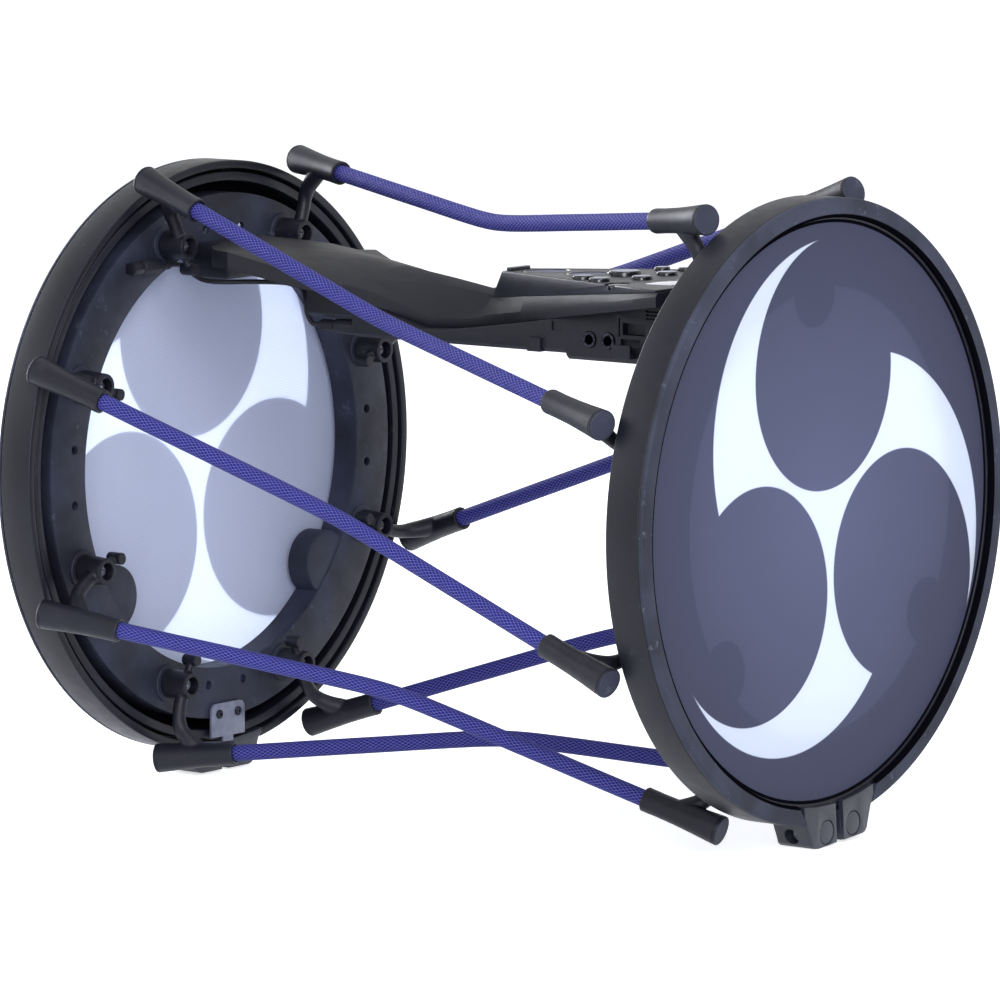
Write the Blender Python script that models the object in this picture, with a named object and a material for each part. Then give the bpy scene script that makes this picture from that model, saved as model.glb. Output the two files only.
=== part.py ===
# Double-headed electronic percussion pad: two round pads on one axis, an hourglass arm with a
# control panel between them, and eight ropes held by tubular hooks.
# Metres. X runs along the pads' axis, Z is up, and the lowest point is at z = 0.
# A pad is drawn once, as the left one: its front looks to -X and its clamp is at the bottom.
# The right pad is the same pad turned half round about Z and clamped a little turned.
import math

import bmesh
import bpy
from mathutils import Matrix, Vector

for old in list(bpy.data.objects):
    bpy.data.objects.remove(old, do_unlink=True)

gap = 0.0003
ring_steps = 48
hook_sides = 8

# Whole object
half_length = 0.2535
right_turn = math.radians(4.1)

# Hoop, clamp and rim
hoop_radius = 0.193
hoop_wall = 0.0054
hoop_width = 0.0239
rim_thickness = 0.0030
rim_inner = hoop_radius - 0.0125
slit = 0.0070
lug_width = 0.0265
lug_drop = 0.0134
lug_round = 0.0060
face_inner = hoop_radius - 0.0115
face_step = 0.0003
seam_inner = (0.0415, 0.0162 - hoop_radius)
seam_outer = (0.0340, 0.0030 - hoop_radius)
disc_place = (0.0142, -hoop_radius - 0.0046)
disc_radius = 0.0080
disc_depth = 0.0012
bolt_drop = 0.0055
bolt_radius = 0.0025
bolt_head_radius = 0.0044
bolt_head_height = 0.0040
bolt_pocket_radius = 0.0052
bolt_pocket_floor = 0.0190

# Head and frame
head_sink = 0.0016
head_skin = 0.0008
head_clearance = 0.0022
flesh_ring_wall = 0.0059
flesh_ring_depth = hoop_width - 0.0022
frame_radius = hoop_radius - 0.0210
flange_inner = frame_radius - 0.0335
frame_wall = 0.0030
inner_wall_depth = hoop_width - 0.0049
inner_wall_lean = 0.0010
lobe_radius = 0.0215
lobe_circle = flange_inner - 0.0025
lobe_angles = (0.0, 127.0, 233.0)
hole_radius = 0.0030
hole_circle = flange_inner + 0.0115
hole_spread = 6.8

# Hooks: a socketed boss, a bent arm and a tubular T-bar with the rope in its mouth
hooks_per_pad = 8
boss_circle = flange_inner + 0.0157
boss_root_radius = 0.0098
boss_radius = 0.0084
boss_height = 0.0212
collar_radius = 0.0125
collar_height = 0.0022
socket_radius = 0.0057
socket_depth = 0.0120
hook_arm_radius = 0.0043
rope_radius = 0.0053
rope_clearance = 0.0005
rope_in_mouth = 0.0160
bar_mouth_radius = rope_radius + 0.0025
bar_end_radius = bar_mouth_radius + 0.0018
bar_mouth_depth = rope_in_mouth + 0.0060

# Arm cover, chassis and panel
cover_end = 0.1980
waist = 0.0176
flare = 0.416
flare_start = 0.0110
panel_start = 0.0110
panel_end = 0.1825
panel_height = 0.1356
panel_slope = 0.0187
panel_half_width = 0.0122
seat_height = 0.1182
seat_slope = 0.1050
seat_start = 0.0030
chassis_half_width = 0.0380
chassis_end_half_width = 0.0300
chassis_bottom = 0.0865
chassis_step = 0.0035
chassis_step_at = 0.0800
button_play = 0.00035
button_travel = 0.0010

# What follows from the sizes above, in the left pad's own frame
front = -half_length
hoop_front = front + rim_thickness + gap
hoop_back = hoop_front + hoop_width
head_front = hoop_front + head_sink
head_back = head_front + head_skin
bearing_edge = head_back + gap
flange_face = hoop_back
boss_top = flange_face + boss_height
face_front = front + 0.0002
face_back = hoop_front + 0.0002
lug_bottom = hoop_radius + lug_drop
lug_side = slit / 2 + lug_width
bolt_x = (hoop_front + hoop_back) / 2
bolt_z = -hoop_radius - bolt_drop
bar_bore = rope_radius + rope_clearance


def toLinear(hexCode):
    channels = [int(hexCode[i : i + 2], 16) / 255 for i in (1, 3, 5)]
    return [c / 12.92 if c <= 0.04045 else ((c + 0.055) / 1.055) ** 2.4 for c in channels]


def material(name, colour, roughness, metallic=0.0):
    made = bpy.data.materials.new(name)
    made.use_nodes = True
    shader = made.node_tree.nodes["Principled BSDF"]
    shader.inputs["Base Color"].default_value = (*toLinear(colour), 1.0)
    shader.inputs["Roughness"].default_value = roughness
    shader.inputs["Metallic"].default_value = metallic
    return made


black_moulding = material("black_moulding", "#2e2e36", 0.45)
black_paint = material("black_paint", "#26262c", 0.35)
soft_rubber = material("soft_rubber", "#34343c", 0.75)
mesh_skin = material("mesh_skin", "#8d95b0", 0.60)
indigo_rope = material("indigo_rope", "#33308a", 0.80)
clear_grey = material("clear_grey", "#a9adc0", 0.30)
steel = material("steel", "#b9bcc4", 0.30, 1.0)
panel_plastic = material("panel_plastic", "#3a3a44", 0.50)
key_rubber = material("key_rubber", "#4a4a55", 0.65)
window_plastic = material("window_plastic", "#e8ecf2", 0.15)


def mesh_from(work, name):
    bmesh.ops.recalc_face_normals(work, faces=work.faces)
    mesh = bpy.data.meshes.new(name)
    work.to_mesh(mesh)
    work.free()
    return mesh


def revolved(name, outline, steps, start=0.0, sweep=2 * math.pi, axis=(1, 0, 0)):
    # The outline is (place along the axis, radius); an outline that ends on the axis is solid.
    work = bmesh.new()
    along = Vector(axis)
    side = Vector((0, 0, 1)) if axis[0] else Vector((1, 0, 0))
    turn = Matrix.Rotation(start, 3, along)
    corners = [work.verts.new(turn @ (along * place + side * radius)) for place, radius in outline]
    on_axis = outline[0][1] == 0 and outline[-1][1] == 0
    pairs = list(zip(corners, corners[1:]))
    if not on_axis:
        pairs.append((corners[-1], corners[0]))
    edges = [work.edges.new(pair) for pair in pairs]
    closed = abs(sweep - 2 * math.pi) < 1e-6
    bmesh.ops.spin(
        work,
        geom=corners + edges,
        cent=(0, 0, 0),
        axis=along,
        angle=sweep,
        steps=steps,
        use_merge=closed,
    )
    bmesh.ops.remove_doubles(work, verts=work.verts, dist=1e-6)
    if not closed:
        rim = [edge for edge in work.edges if edge.is_boundary]
        bmesh.ops.holes_fill(work, edges=rim, sides=0)
    return mesh_from(work, name)


def extruded(name, outline, low, high):
    # The outline is (y, z); it runs along X from low to high.
    work = bmesh.new()
    face = work.faces.new([work.verts.new((low, y, z)) for y, z in outline])
    pushed = bmesh.ops.extrude_face_region(work, geom=[face])
    moved = [item for item in pushed["geom"] if isinstance(item, bmesh.types.BMVert)]
    bmesh.ops.translate(work, verts=moved, vec=(high - low, 0, 0))
    return mesh_from(work, name)


def cylinders(name, places, radius, low, high, sides, along="X"):
    # Several like cylinders in one mesh, used as tools and for bosses.
    work = bmesh.new()
    lie = Matrix.Rotation(math.pi / 2, 4, {"X": "Y", "Y": "X"}[along])
    for place in places:
        centre = Vector(place)
        centre["XYZ".index(along)] = (low + high) / 2
        bmesh.ops.create_cone(
            work,
            cap_ends=True,
            segments=sides,
            radius1=radius,
            radius2=radius,
            depth=high - low,
            matrix=Matrix.Translation(centre) @ lie,
        )
    return mesh_from(work, name)


def box(name, low, high):
    work = bmesh.new()
    middle = (Vector(low) + Vector(high)) / 2
    size = Vector(high) - Vector(low)
    place = Matrix.Translation(middle) @ Matrix.Diagonal((*size, 1.0))
    bmesh.ops.create_cube(work, size=1.0, matrix=place)
    return mesh_from(work, name)


def tube(name, points, radii, sides):
    # A round bar through hand-placed points, with filled ends, as a curve.
    curve = bpy.data.curves.new(name, "CURVE")
    curve.dimensions = "3D"
    curve.bevel_depth = 1.0
    curve.bevel_resolution = sides
    curve.use_fill_caps = True
    spline = curve.splines.new("POLY")
    spline.points.add(len(points) - 1)
    for point, place, radius in zip(spline.points, points, radii):
        point.co = (*place, 1.0)
        point.radius = radius
    return curve


def put(name, data, mat, parent=None, location=(0, 0, 0), rotation=(0, 0, 0)):
    made = bpy.data.objects.new(name, data)
    bpy.context.scene.collection.objects.link(made)
    made.parent = parent
    made.location = location
    made.rotation_euler = rotation
    if mat and not data.materials:
        data.materials.append(mat)
    return made


def worked(base, tools, operation):
    # Applies an exact Boolean for each tool and removes the tools.
    for tool in tools:
        change = base.modifiers.new(operation.title(), "BOOLEAN")
        change.operation = operation
        change.solver = "EXACT"
        change.object = tool
    bpy.context.view_layer.update()
    graph = bpy.context.evaluated_depsgraph_get()
    result = bpy.data.meshes.new_from_object(base.evaluated_get(graph))
    base.modifiers.clear()
    base.data = result
    for tool in tools:
        bpy.data.objects.remove(tool, do_unlink=True)
    return base


def solid_mesh(data, cuts=(), joins=()):
    # The mesh of one piece after its joins and cuts.
    base = put("work", data, None)
    if joins:
        worked(base, [put("join", other, None) for other in joins], "UNION")
    if cuts:
        worked(base, [put("cut", other, None) for other in cuts], "DIFFERENCE")
    if base.type != "MESH":
        worked(base, [], "UNION")
    work = bmesh.new()
    work.from_mesh(base.data)
    bmesh.ops.remove_doubles(work, verts=work.verts, dist=1e-6)
    bmesh.ops.dissolve_degenerate(work, edges=work.edges, dist=1e-6)
    finished = mesh_from(work, data.name)
    bpy.data.objects.remove(base, do_unlink=True)
    return finished


def around(radius, degrees):
    # A place on a circle about the pads' axis, measured from the top towards +Y.
    turn = math.radians(degrees)
    return (0.0, radius * math.sin(turn), radius * math.cos(turn))


def mirrored(outline):
    return [(-y, z) for y, z in outline]


def ear_outline(back):
    # The lug's lower outline from the slit round to the seam.
    corner = [
        (
            lug_side - lug_round + (lug_round - back) * math.sin(step * math.pi / 6),
            -lug_bottom + lug_round - (lug_round - back) * math.cos(step * math.pi / 6),
        )
        for step in range(4)
    ]
    bottom = (slit / 2 + back, -lug_bottom + back)
    return [bottom, *corner, (seam_outer[0] - back, seam_outer[1])]


# Hoop: a split band with a clamp casting of two halves, which also fills the gap in the rim
def hoop_mesh():
    inner = hoop_radius - hoop_wall
    soft = 0.0010
    band = [
        (hoop_front, inner),
        (hoop_front, hoop_radius - soft),
        (hoop_front + soft, hoop_radius),
        (hoop_back - soft, hoop_radius),
        (hoop_back, hoop_radius - soft),
        (hoop_back, inner),
    ]
    split = math.asin(slit / 2 / inner)
    ring = revolved("hoop", band, ring_steps, math.pi + split, 2 * math.pi - 2 * split)
    root = hoop_radius - hoop_wall / 2
    # The face stands back a little from the lug's outline all round.
    lug = [(slit / 2, -root), *ear_outline(0.0)]
    lug.append((seam_outer[0] + 0.0020, seam_outer[1] + 0.0032))
    face = [(slit / 2 + face_step, -face_inner), *ear_outline(face_step), seam_inner]
    face.append((seam_inner[0] * 0.52, seam_inner[1] - 0.0034))
    low = hoop_front - 0.0010
    high = hoop_back - 0.0004
    castings = []
    for half_lug, half_face in ((lug, face), (mirrored(lug), mirrored(face))):
        castings.append(extruded("lug", half_lug, low, high))
        castings.append(extruded("face", half_face, face_front, face_back))
    bolt_place = (bolt_x, 0.0, bolt_z)
    reach = lug_side + 0.010
    bore = cylinders("bore", [bolt_place], bolt_radius + gap, -reach, reach, 12, "Y")
    pocket = cylinders(
        "pocket", [bolt_place], bolt_pocket_radius, bolt_pocket_floor, reach, 12, "Y"
    )
    discs = cylinders(
        "discs",
        [(0.0, side * disc_place[0], disc_place[1]) for side in (-1, 1)],
        disc_radius,
        face_front - 0.0010,
        face_front + disc_depth,
        16,
    )
    return solid_mesh(ring, cuts=[bore, pocket, discs], joins=castings)


def bolt_mesh():
    # The bolt lies across both lugs, with its head sunk in the +Y one.
    head_at = bolt_pocket_floor + gap
    head_top = head_at + bolt_head_height
    outline = [
        (-lug_side, 0.0),
        (-lug_side, bolt_radius),
        (head_at, bolt_radius),
        (head_at, bolt_head_radius),
        (head_top - 0.0006, bolt_head_radius),
        (head_top, bolt_head_radius - 0.0006),
        (head_top, 0.0),
    ]
    turned = revolved("clamp_bolt", outline, 12)
    lay = Matrix.Rotation(math.pi / 2, 4, "Z")
    turned.transform(Matrix.Translation((bolt_x, 0.0, bolt_z)) @ lay)
    return turned


def rim_mesh():
    soft = 0.0014
    back = front + rim_thickness
    outline = [
        (back, rim_inner),
        (back, hoop_radius),
        (front + soft, hoop_radius),
        (front, hoop_radius - soft),
        (front, rim_inner + 0.0022),
        (front + 0.0020, rim_inner),
    ]
    # The rim is open where the clamp casting comes through it.
    lean = (seam_inner[0] - seam_outer[0]) / (seam_inner[1] - seam_outer[1])
    opening = [
        (seam_outer[0] + 0.0004 + lean * (z - seam_outer[1]), z)
        for z in (-hoop_radius - 0.0070, -hoop_radius + 0.0230)
    ]
    opening += reversed(mirrored(opening))
    cut = extruded("opening", opening, front - 0.0010, back + 0.0010)
    return solid_mesh(revolved("rim", outline, ring_steps), cuts=[cut])


def head_mesh():
    # The skin and the ring that it is bonded to are one piece.
    ring_outer = hoop_radius - hoop_wall - head_clearance
    ring_inner = ring_outer - flesh_ring_wall
    ring_front = face_back + gap
    ring_back = ring_front + flesh_ring_depth
    outline = [
        (head_front, 0.0),
        (head_front, ring_inner),
        (ring_front, ring_inner + 0.0012),
        (ring_front, ring_outer),
        (ring_back, ring_outer),
        (ring_back, ring_inner),
        (head_back, ring_inner),
        (head_back, 0.0),
    ]
    return revolved("head", outline, ring_steps)


def frame_mesh():
    # A channel ring: the bearing edge outside, the flange towards the arm, the opening inside.
    back = flange_face - frame_wall
    channel = [
        (flange_face, flange_inner),
        (flange_face, frame_radius - 0.0010),
        (flange_face - 0.0010, frame_radius),
        (bearing_edge, frame_radius),
        (bearing_edge, frame_radius - frame_wall),
        (back, frame_radius - frame_wall),
        (back, flange_inner + frame_wall),
        (flange_face - inner_wall_depth, flange_inner + frame_wall - inner_wall_lean),
        (flange_face - inner_wall_depth, flange_inner - inner_wall_lean),
    ]
    ring = revolved("frame", channel, ring_steps)
    spacing = 360 / hooks_per_pad
    seats = [around(boss_circle, spacing * (index + 0.5)) for index in range(hooks_per_pad)]
    collars = cylinders(
        "collars", seats, collar_radius, back + 0.0010, flange_face + collar_height, 10
    )
    lobes = cylinders(
        "lobes",
        [around(lobe_circle, angle) for angle in lobe_angles],
        lobe_radius,
        flange_face - inner_wall_depth + 0.0012,
        flange_face - 0.0009,
        14,
    )
    holes = cylinders(
        "holes",
        [
            around(hole_circle, quarter * 90 + side * hole_spread)
            for quarter in range(4)
            for side in (-1, 1)
        ],
        hole_radius,
        back - 0.0010,
        flange_face + 0.0010,
        6,
    )
    return solid_mesh(ring, cuts=[holes], joins=[collars, lobes])


def tab_mesh():
    # The translucent plate across the gap between flange and hoop, beside the clamp.
    half, tongue = 0.0170, 0.0050
    top, bottom = 0.0310 - hoop_radius, 0.0088 - hoop_radius
    soft = 0.0050
    corner = [
        (
            half - soft + soft * math.cos(step * math.pi / 6),
            top - soft + soft * math.sin(step * math.pi / 6),
        )
        for step in range(4)
    ]
    right = [(tongue, bottom - 0.0036), (tongue, bottom), (half, bottom), *corner]
    left = mirrored(reversed(right))
    low = flange_face + gap
    return extruded("tab_plate", right + left, low, low + 0.0020)


# Hook: one moulding, drawn for the top of the left pad
bar_outer_end = Vector((flange_face + 0.0031, -0.0050, hoop_radius + 0.0102))
bar_mouth = Vector((flange_face + 0.0541, -0.0192, hoop_radius - 0.0021))
bar_length = (bar_mouth - bar_outer_end).length
bar_direction = (bar_mouth - bar_outer_end).normalized()


def hook_mesh():
    end, mouth = bar_end_radius, bar_mouth_radius
    outline = [
        (0.0, 0.0),
        (0.0, end - 0.0022),
        (0.0008, end - 0.0006),
        (0.0022, end),
        (bar_length * 0.5, (end + mouth) / 2 + 0.0002),
        (bar_length - 0.0010, mouth),
        (bar_length, mouth - 0.0006),
        (bar_length, bar_bore),
        (bar_length - bar_mouth_depth, bar_bore),
        (bar_length - bar_mouth_depth, 0.0),
    ]
    bar = revolved("hook", outline, hook_sides)
    facing = bar_direction.to_track_quat("X", "Z").to_matrix().to_4x4()
    bar.transform(Matrix.Translation(bar_outer_end) @ facing)

    base = flange_face + collar_height + gap
    taper = [(base, 0.0), (base, boss_root_radius), (boss_top, boss_radius), (boss_top, 0.0)]
    boss = revolved("boss", taper, 10)
    boss.transform(Matrix.Translation((0.0, 0.0, boss_circle)))
    top = [(0.0, 0.0, boss_circle)]
    mouth_low = boss_top - socket_depth
    socket = cylinders("socket", top, socket_radius, mouth_low, boss_top + 0.001, hook_sides)

    middle = bar_outer_end.lerp(bar_mouth, 0.56)
    route = [
        (boss_top - 0.0068, 0.0, boss_circle + boss_radius * 0.86),
        (boss_top - 0.0066, -0.0010, boss_circle + 0.0160),
        (boss_top - 0.0050, -0.0040, boss_circle + 0.0270),
        (boss_top + 0.0020, -0.0085, boss_circle + 0.0350),
        (boss_top + 0.0090, -0.0130, boss_circle + 0.0395),
        tuple(middle),
    ]
    swell = [1.0, 1.0, 1.02, 1.1, 1.25, 1.3]
    bend = tube("bend", route, [hook_arm_radius * share for share in swell], 1)

    stalk_end = boss_circle - boss_radius - 0.0085
    stalk_x = boss_top - 0.0062
    stalk = tube(
        "stalk",
        [(stalk_x, 0.0, boss_circle - boss_radius * 0.86), (stalk_x, 0.0, stalk_end)],
        [0.0030, 0.0026],
        1,
    )
    peg = cylinders("peg", [(0.0, 0.0, stalk_end)], 0.0038, stalk_x - 0.0055, stalk_x + 0.0055, 6)
    return solid_mesh(bar, cuts=[socket], joins=[boss, mesh_of_curve(bend), mesh_of_curve(stalk), peg])


def mesh_of_curve(curve):
    holder = put("curve_work", curve, None)
    bpy.context.view_layer.update()
    graph = bpy.context.evaluated_depsgraph_get()
    made = bpy.data.meshes.new_from_object(holder.evaluated_get(graph))
    bpy.data.objects.remove(holder, do_unlink=True)
    work = bmesh.new()
    work.from_mesh(made)
    bmesh.ops.remove_doubles(work, verts=work.verts, dist=1e-6)
    return mesh_from(work, curve.name)


def outline_lowest(turn):
    # How far below the axis the lug reaches when its pad is turned.
    low_corner = Vector((lug_side - lug_round, lug_bottom - lug_round))
    centre = low_corner.y * math.cos(turn) + low_corner.x * math.sin(turn)
    return centre + lug_round


axis_height = outline_lowest(right_turn)

left_pad = put("left_pad", None, None, location=(0, 0, axis_height))
right_pad = put(
    "right_pad", None, None, location=(0, 0, axis_height), rotation=(-right_turn, 0, math.pi)
)

pad_pieces = [
    ("hoop", hoop_mesh(), black_paint),
    ("rim", rim_mesh(), soft_rubber),
    ("head", head_mesh(), mesh_skin),
    ("frame", frame_mesh(), black_moulding),
    ("tab_plate", tab_mesh(), clear_grey),
    ("clamp_bolt", bolt_mesh(), steel),
]
hook = hook_mesh()
for side, pad in (("left", left_pad), ("right", right_pad)):
    for name, mesh, mat in pad_pieces:
        put(f"{side}_{name}", mesh, mat, parent=pad)
    for index in range(hooks_per_pad):
        turn = -2 * math.pi * (index + 0.5) / hooks_per_pad
        put(f"{side}_hook_{index + 1}", hook, black_moulding, parent=pad, rotation=(turn, 0, 0))


# Ropes: each runs from a left hook to the right hook one place on. It leaves each mouth nearly
# straight and is bent inwards at its middle.
bow_points = [
    (0.00, 0.0000),
    (0.09, 0.0031),
    (0.18, 0.0063),
    (0.27, 0.0094),
    (0.36, 0.0126),
    (0.42, 0.0146),
    (0.46, 0.0157),
    (0.50, 0.0162),
]
hook_step = 2 * math.pi / hooks_per_pad


def rope_curve():
    # The route between a hook at the top of the left pad and its partner on the right pad.
    right_mouth = Matrix.Rotation(math.pi, 3, "Z") @ bar_mouth
    right_way = Matrix.Rotation(math.pi, 3, "Z") @ bar_direction
    shift = Matrix.Rotation(hook_step + right_turn, 3, "X")
    start, finish = bar_mouth, shift @ right_mouth
    middle = (start + finish) / 2
    inwards = Vector((0.0, -middle.y, -middle.z)).normalized()
    shares = bow_points + [(1 - share, bow) for share, bow in reversed(bow_points[:-1])]
    places = [start.lerp(finish, share) + inwards * bow for share, bow in shares]
    places.insert(0, start - bar_direction * rope_in_mouth)
    places.append(finish - (shift @ right_way) * rope_in_mouth)
    return tube("rope", places, [rope_radius] * len(places), 2)


rope = rope_curve()
for index in range(hooks_per_pad):
    turn = -hook_step * (index + 0.5)
    place = (0, 0, axis_height)
    put(f"rope_{index + 1}", rope, indigo_rope, location=place, rotation=(turn, 0, 0))


# Arm: heights below are above the pads' axis, so everything hangs on one empty. It rises with
# the flanges, which carry it.
arm_rise = flange_inner - 0.1385
arm = put("arm", None, None, location=(0, 0, axis_height + arm_rise))


def between(table, place):
    # Straight lines through the (place, value) pairs of the table.
    for (low, first), (high, last) in zip(table, table[1:]):
        if low <= place <= high:
            return first + (last - first) * (place - low) / (high - low)
    return table[0][1] if place < table[0][0] else table[-1][1]


cover_right_end = panel_end + 0.0025
edge_table = [(-cover_end, 0.1300), (-0.1600, 0.1319), (-0.1180, 0.1207), (-0.0770, 0.1132),
              (-0.0360, 0.0984), (-0.0160, 0.0988), (seat_start, 0.1011), (0.0360, 0.1059),
              (0.0770, 0.1124), (cover_right_end, 0.1287)]
crest_table = [(-cover_end, 0.1464), (-0.1600, 0.1424), (-0.1180, 0.1385), (-0.0770, 0.1334),
               (-0.0360, 0.1278), (-0.0040, 0.1228)]
corner_table = [(0.1600, 0.0), (0.1760, 0.0140), (0.1900, 0.0330), (cover_end, 0.0460)]
cover_places = [-cover_end, -0.1900, -0.1760, -0.1600, -0.1180, -0.0770, -0.0360, -0.0160,
                -0.0040, seat_start, panel_start, 0.0360, 0.0770, 0.1180, 0.1600, cover_right_end]


def edge_at(place):
    return between(edge_table, place)


def seat_at(place):
    return seat_height + seat_slope * (place - seat_start)


def panel_at(place):
    return panel_height + panel_slope * (place - panel_start)


def half_width_at(place):
    straight = panel_half_width + 0.0018 + flare * (abs(place) - flare_start)
    plain = (waist**4 + max(straight, 0.0) ** 4) ** 0.25
    cut = between(corner_table, abs(place)) if place < 0 else 0.0
    return plain - cut


def lofted(name, sections):
    # Sections are (x, [(y, z), ...]) with the same number of points each.
    work = bmesh.new()
    loops = [[work.verts.new((x, y, z)) for y, z in points] for x, points in sections]
    count = len(loops[0])
    for first, second in zip(loops, loops[1:]):
        for index in range(count):
            follow = (index + 1) % count
            work.faces.new((first[index], first[follow], second[follow], second[index]))
    work.faces.new(loops[0])
    work.faces.new(loops[-1])
    return mesh_from(work, name)


def seat_half_at(place):
    return panel_half_width + flare * max(place - panel_start, 0.0)


def cover_section(place):
    # Left of the panel the cover is an arch: it has a side wall at -Y and runs out low at +Y.
    # Under the panel it is a flat seat with a sloping shelf and a low wall at both sides.
    half, low = half_width_at(place), edge_at(place)
    if place < seat_start - 0.001:
        crest = between(crest_table, place)
        reach = abs(place) / cover_end
        wall_top = low + 0.0050 + 0.0070 * reach
        spring = low - 0.0033 - 0.0010 * reach
        lip = low + 0.0012
        near = [
            (-half * share, wall_top + (crest - wall_top) * (1 - share**2))
            for share in (0.97, 0.75, 0.40)
        ]
        far = [
            (half * share, max(spring + (crest - spring) * (1 - share**2.17), lip + 0.0003))
            for share in (0.40, 0.75, 0.97)
        ]
    else:
        crest = seat_at(place)
        wall_top = lip = low + 0.0065
        near = [(-seat_half_at(place) * share, crest) for share in (1.0, 0.70, 0.35)]
        far = mirrored(reversed(near))
    top = [(-half, wall_top), *near, (0.0, crest), *far, (half, lip)]
    return [(-half, low), *top, (half, low)]


cover = lofted("arm_cover", [(place, cover_section(place)) for place in cover_places])
put("arm_cover", cover, black_moulding, parent=arm)


def chassis_section(place, bottom):
    half = chassis_end_half_width if place < -0.1280 else chassis_half_width
    soft = 0.0025
    top = edge_at(place) - gap
    left = [(-half, top), (-half, bottom + soft), (-half + soft, bottom)]
    return left + mirrored(reversed(left))


under_left = [(-0.1900, 0.1240), (-0.1600, 0.1230), (-0.1290, 0.1200), (-0.1264, 0.1010),
              (-0.1180, 0.1010), (-0.0895, 0.1010), (-0.0885, chassis_bottom + chassis_step)]
under_right = [(0.1180, chassis_bottom), (0.1500, chassis_bottom), (0.1600, 0.0920),
               (panel_end, 0.1130)]
under_middle = [
    (place, chassis_bottom + chassis_step)
    for place in (-0.0770, -0.0360, -0.0160, seat_start, 0.0360, 0.0770, chassis_step_at)
]
under = under_left + under_middle + [(chassis_step_at + 0.0010, chassis_bottom)] + under_right
chassis_body = lofted(
    "arm_chassis", [(place, chassis_section(place, bottom)) for place, bottom in under]
)
wall = -chassis_half_width
jack_radius = 0.0050
jack_bore = 0.0032
jack_depth = 0.0150
jack_height = 0.0998
jack_places = [(0.0988, 0.0, jack_height), (0.1132, 0.0, jack_height)]


def wall_box(low_x, high_x, low_z, high_z, depth):
    return box("pocket", (low_x, wall - 0.002, low_z), (high_x, wall + depth, high_z))


jack_holes = cylinders(
    "jack_holes", jack_places, jack_radius + gap, wall - 0.002, wall + jack_depth + gap, 16, "Y"
)
port = wall_box(0.1243, 0.1413, 0.1043, 0.1117, 0.0060)
dark_window = wall_box(0.0695, 0.0780, 0.1040, 0.1096, 0.0015)
slot = wall_box(0.1230, 0.1375, 0.0965, 0.1016, 0.0030)
wedge_slot = wall_box(0.1212, 0.1222, 0.1030, 0.1150, 0.0020)
louvres = [wall_box(0.1420, 0.1540, z, z + 0.0011, 0.0020) for z in (0.1150, 0.1172, 0.1194)]
post = box("post", (0.0525, wall - 0.0030, 0.0900), (0.0626, wall + 0.002, 0.0985))
plug_height = 0.0950
plug_side = -0.0290
plug_hole = cylinders(
    "plug_hole", [(0.0, plug_side, plug_height)], 0.0035, -0.0900, -0.0800, 14
)
chassis = solid_mesh(
    chassis_body,
    cuts=[jack_holes, port, dark_window, slot, wedge_slot, *louvres, plug_hole],
    joins=[post],
)
put("arm_chassis", chassis, black_moulding, parent=arm)


# Jacks: bushes with a blind bore, a little proud of the near wall
def jack_mesh():
    proud = 0.0008
    outline = [
        (jack_depth, 0.0),
        (jack_depth, jack_radius),
        (-proud, jack_radius),
        (-proud, jack_bore),
        (jack_depth - 0.0020, jack_bore),
        (jack_depth - 0.0020, 0.0),
    ]
    turned = revolved("jack", outline, 16)
    turned.transform(Matrix.Rotation(math.pi / 2, 4, "Z"))
    return turned


jack = jack_mesh()
for index, (x, _, z) in enumerate(jack_places):
    put(f"jack_{index + 1}", jack, steel, parent=arm, location=(x, wall, z))


# Cord hook: a rubber block with a notch, on the near wall below the slot
hook_block = [(0.0, 0.0), (-0.0060, 0.0), (-0.0060, 0.0085), (-0.0042, 0.0085),
              (-0.0042, 0.0030), (-0.0016, 0.0030), (0.0, 0.0046)]
cord_block = extruded("cord_hook", hook_block, 0.1205, 0.1344)
put("cord_hook", cord_block, soft_rubber, parent=arm, location=(0, wall - gap, 0.0900))


# Patch cable: a ribbed plug in the chassis' left end wall, and one in a socket on the left flange
def plug_mesh():
    # Told from the tip in the wall out to the end of the ribbed sleeve.
    ribs = []
    for index in range(4):
        start = 0.0210 + index * 0.0030
        ribs += [(start, 0.0030), (start, 0.0038), (start + 0.0018, 0.0036), (start + 0.0018, 0.0027)]
    outline = [
        (-0.0080, 0.0),
        (-0.0080, 0.0028),
        (0.0003, 0.0030),
        (0.0003, 0.0052),
        (0.0190, 0.0046),
        *ribs,
        (0.0336, 0.0024),
        (0.0336, 0.0),
    ]
    turned = revolved("sensor_plug", outline, 10)
    turned.transform(Matrix.Rotation(math.pi, 4, "Z"))
    return turned


plug_x = -0.0891
plug_place = (plug_x, plug_side, plug_height)
put("sensor_plug", plug_mesh(), soft_rubber, parent=arm, location=plug_place)


# The socket's mouth looks to +Y; its foot stands on the flange, below and beside a hook's boss,
# to the nearest tenth of a millimetre.
near_boss = Vector(around(boss_circle, -180 / hooks_per_pad))
socket_mouth = Vector((
    flange_face + 0.0052,
    round(near_boss.y - 0.0302, 4),
    round(near_boss.z - 0.0128 - arm_rise, 4),
))
socket_length = 0.0093
socket_body_radius = 0.0042
tip_radius = 0.0018
tip_length = 0.0060
pad_plug_length = 0.0289
lay_along_y = Matrix.Rotation(math.pi / 2, 4, "Z")


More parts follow.
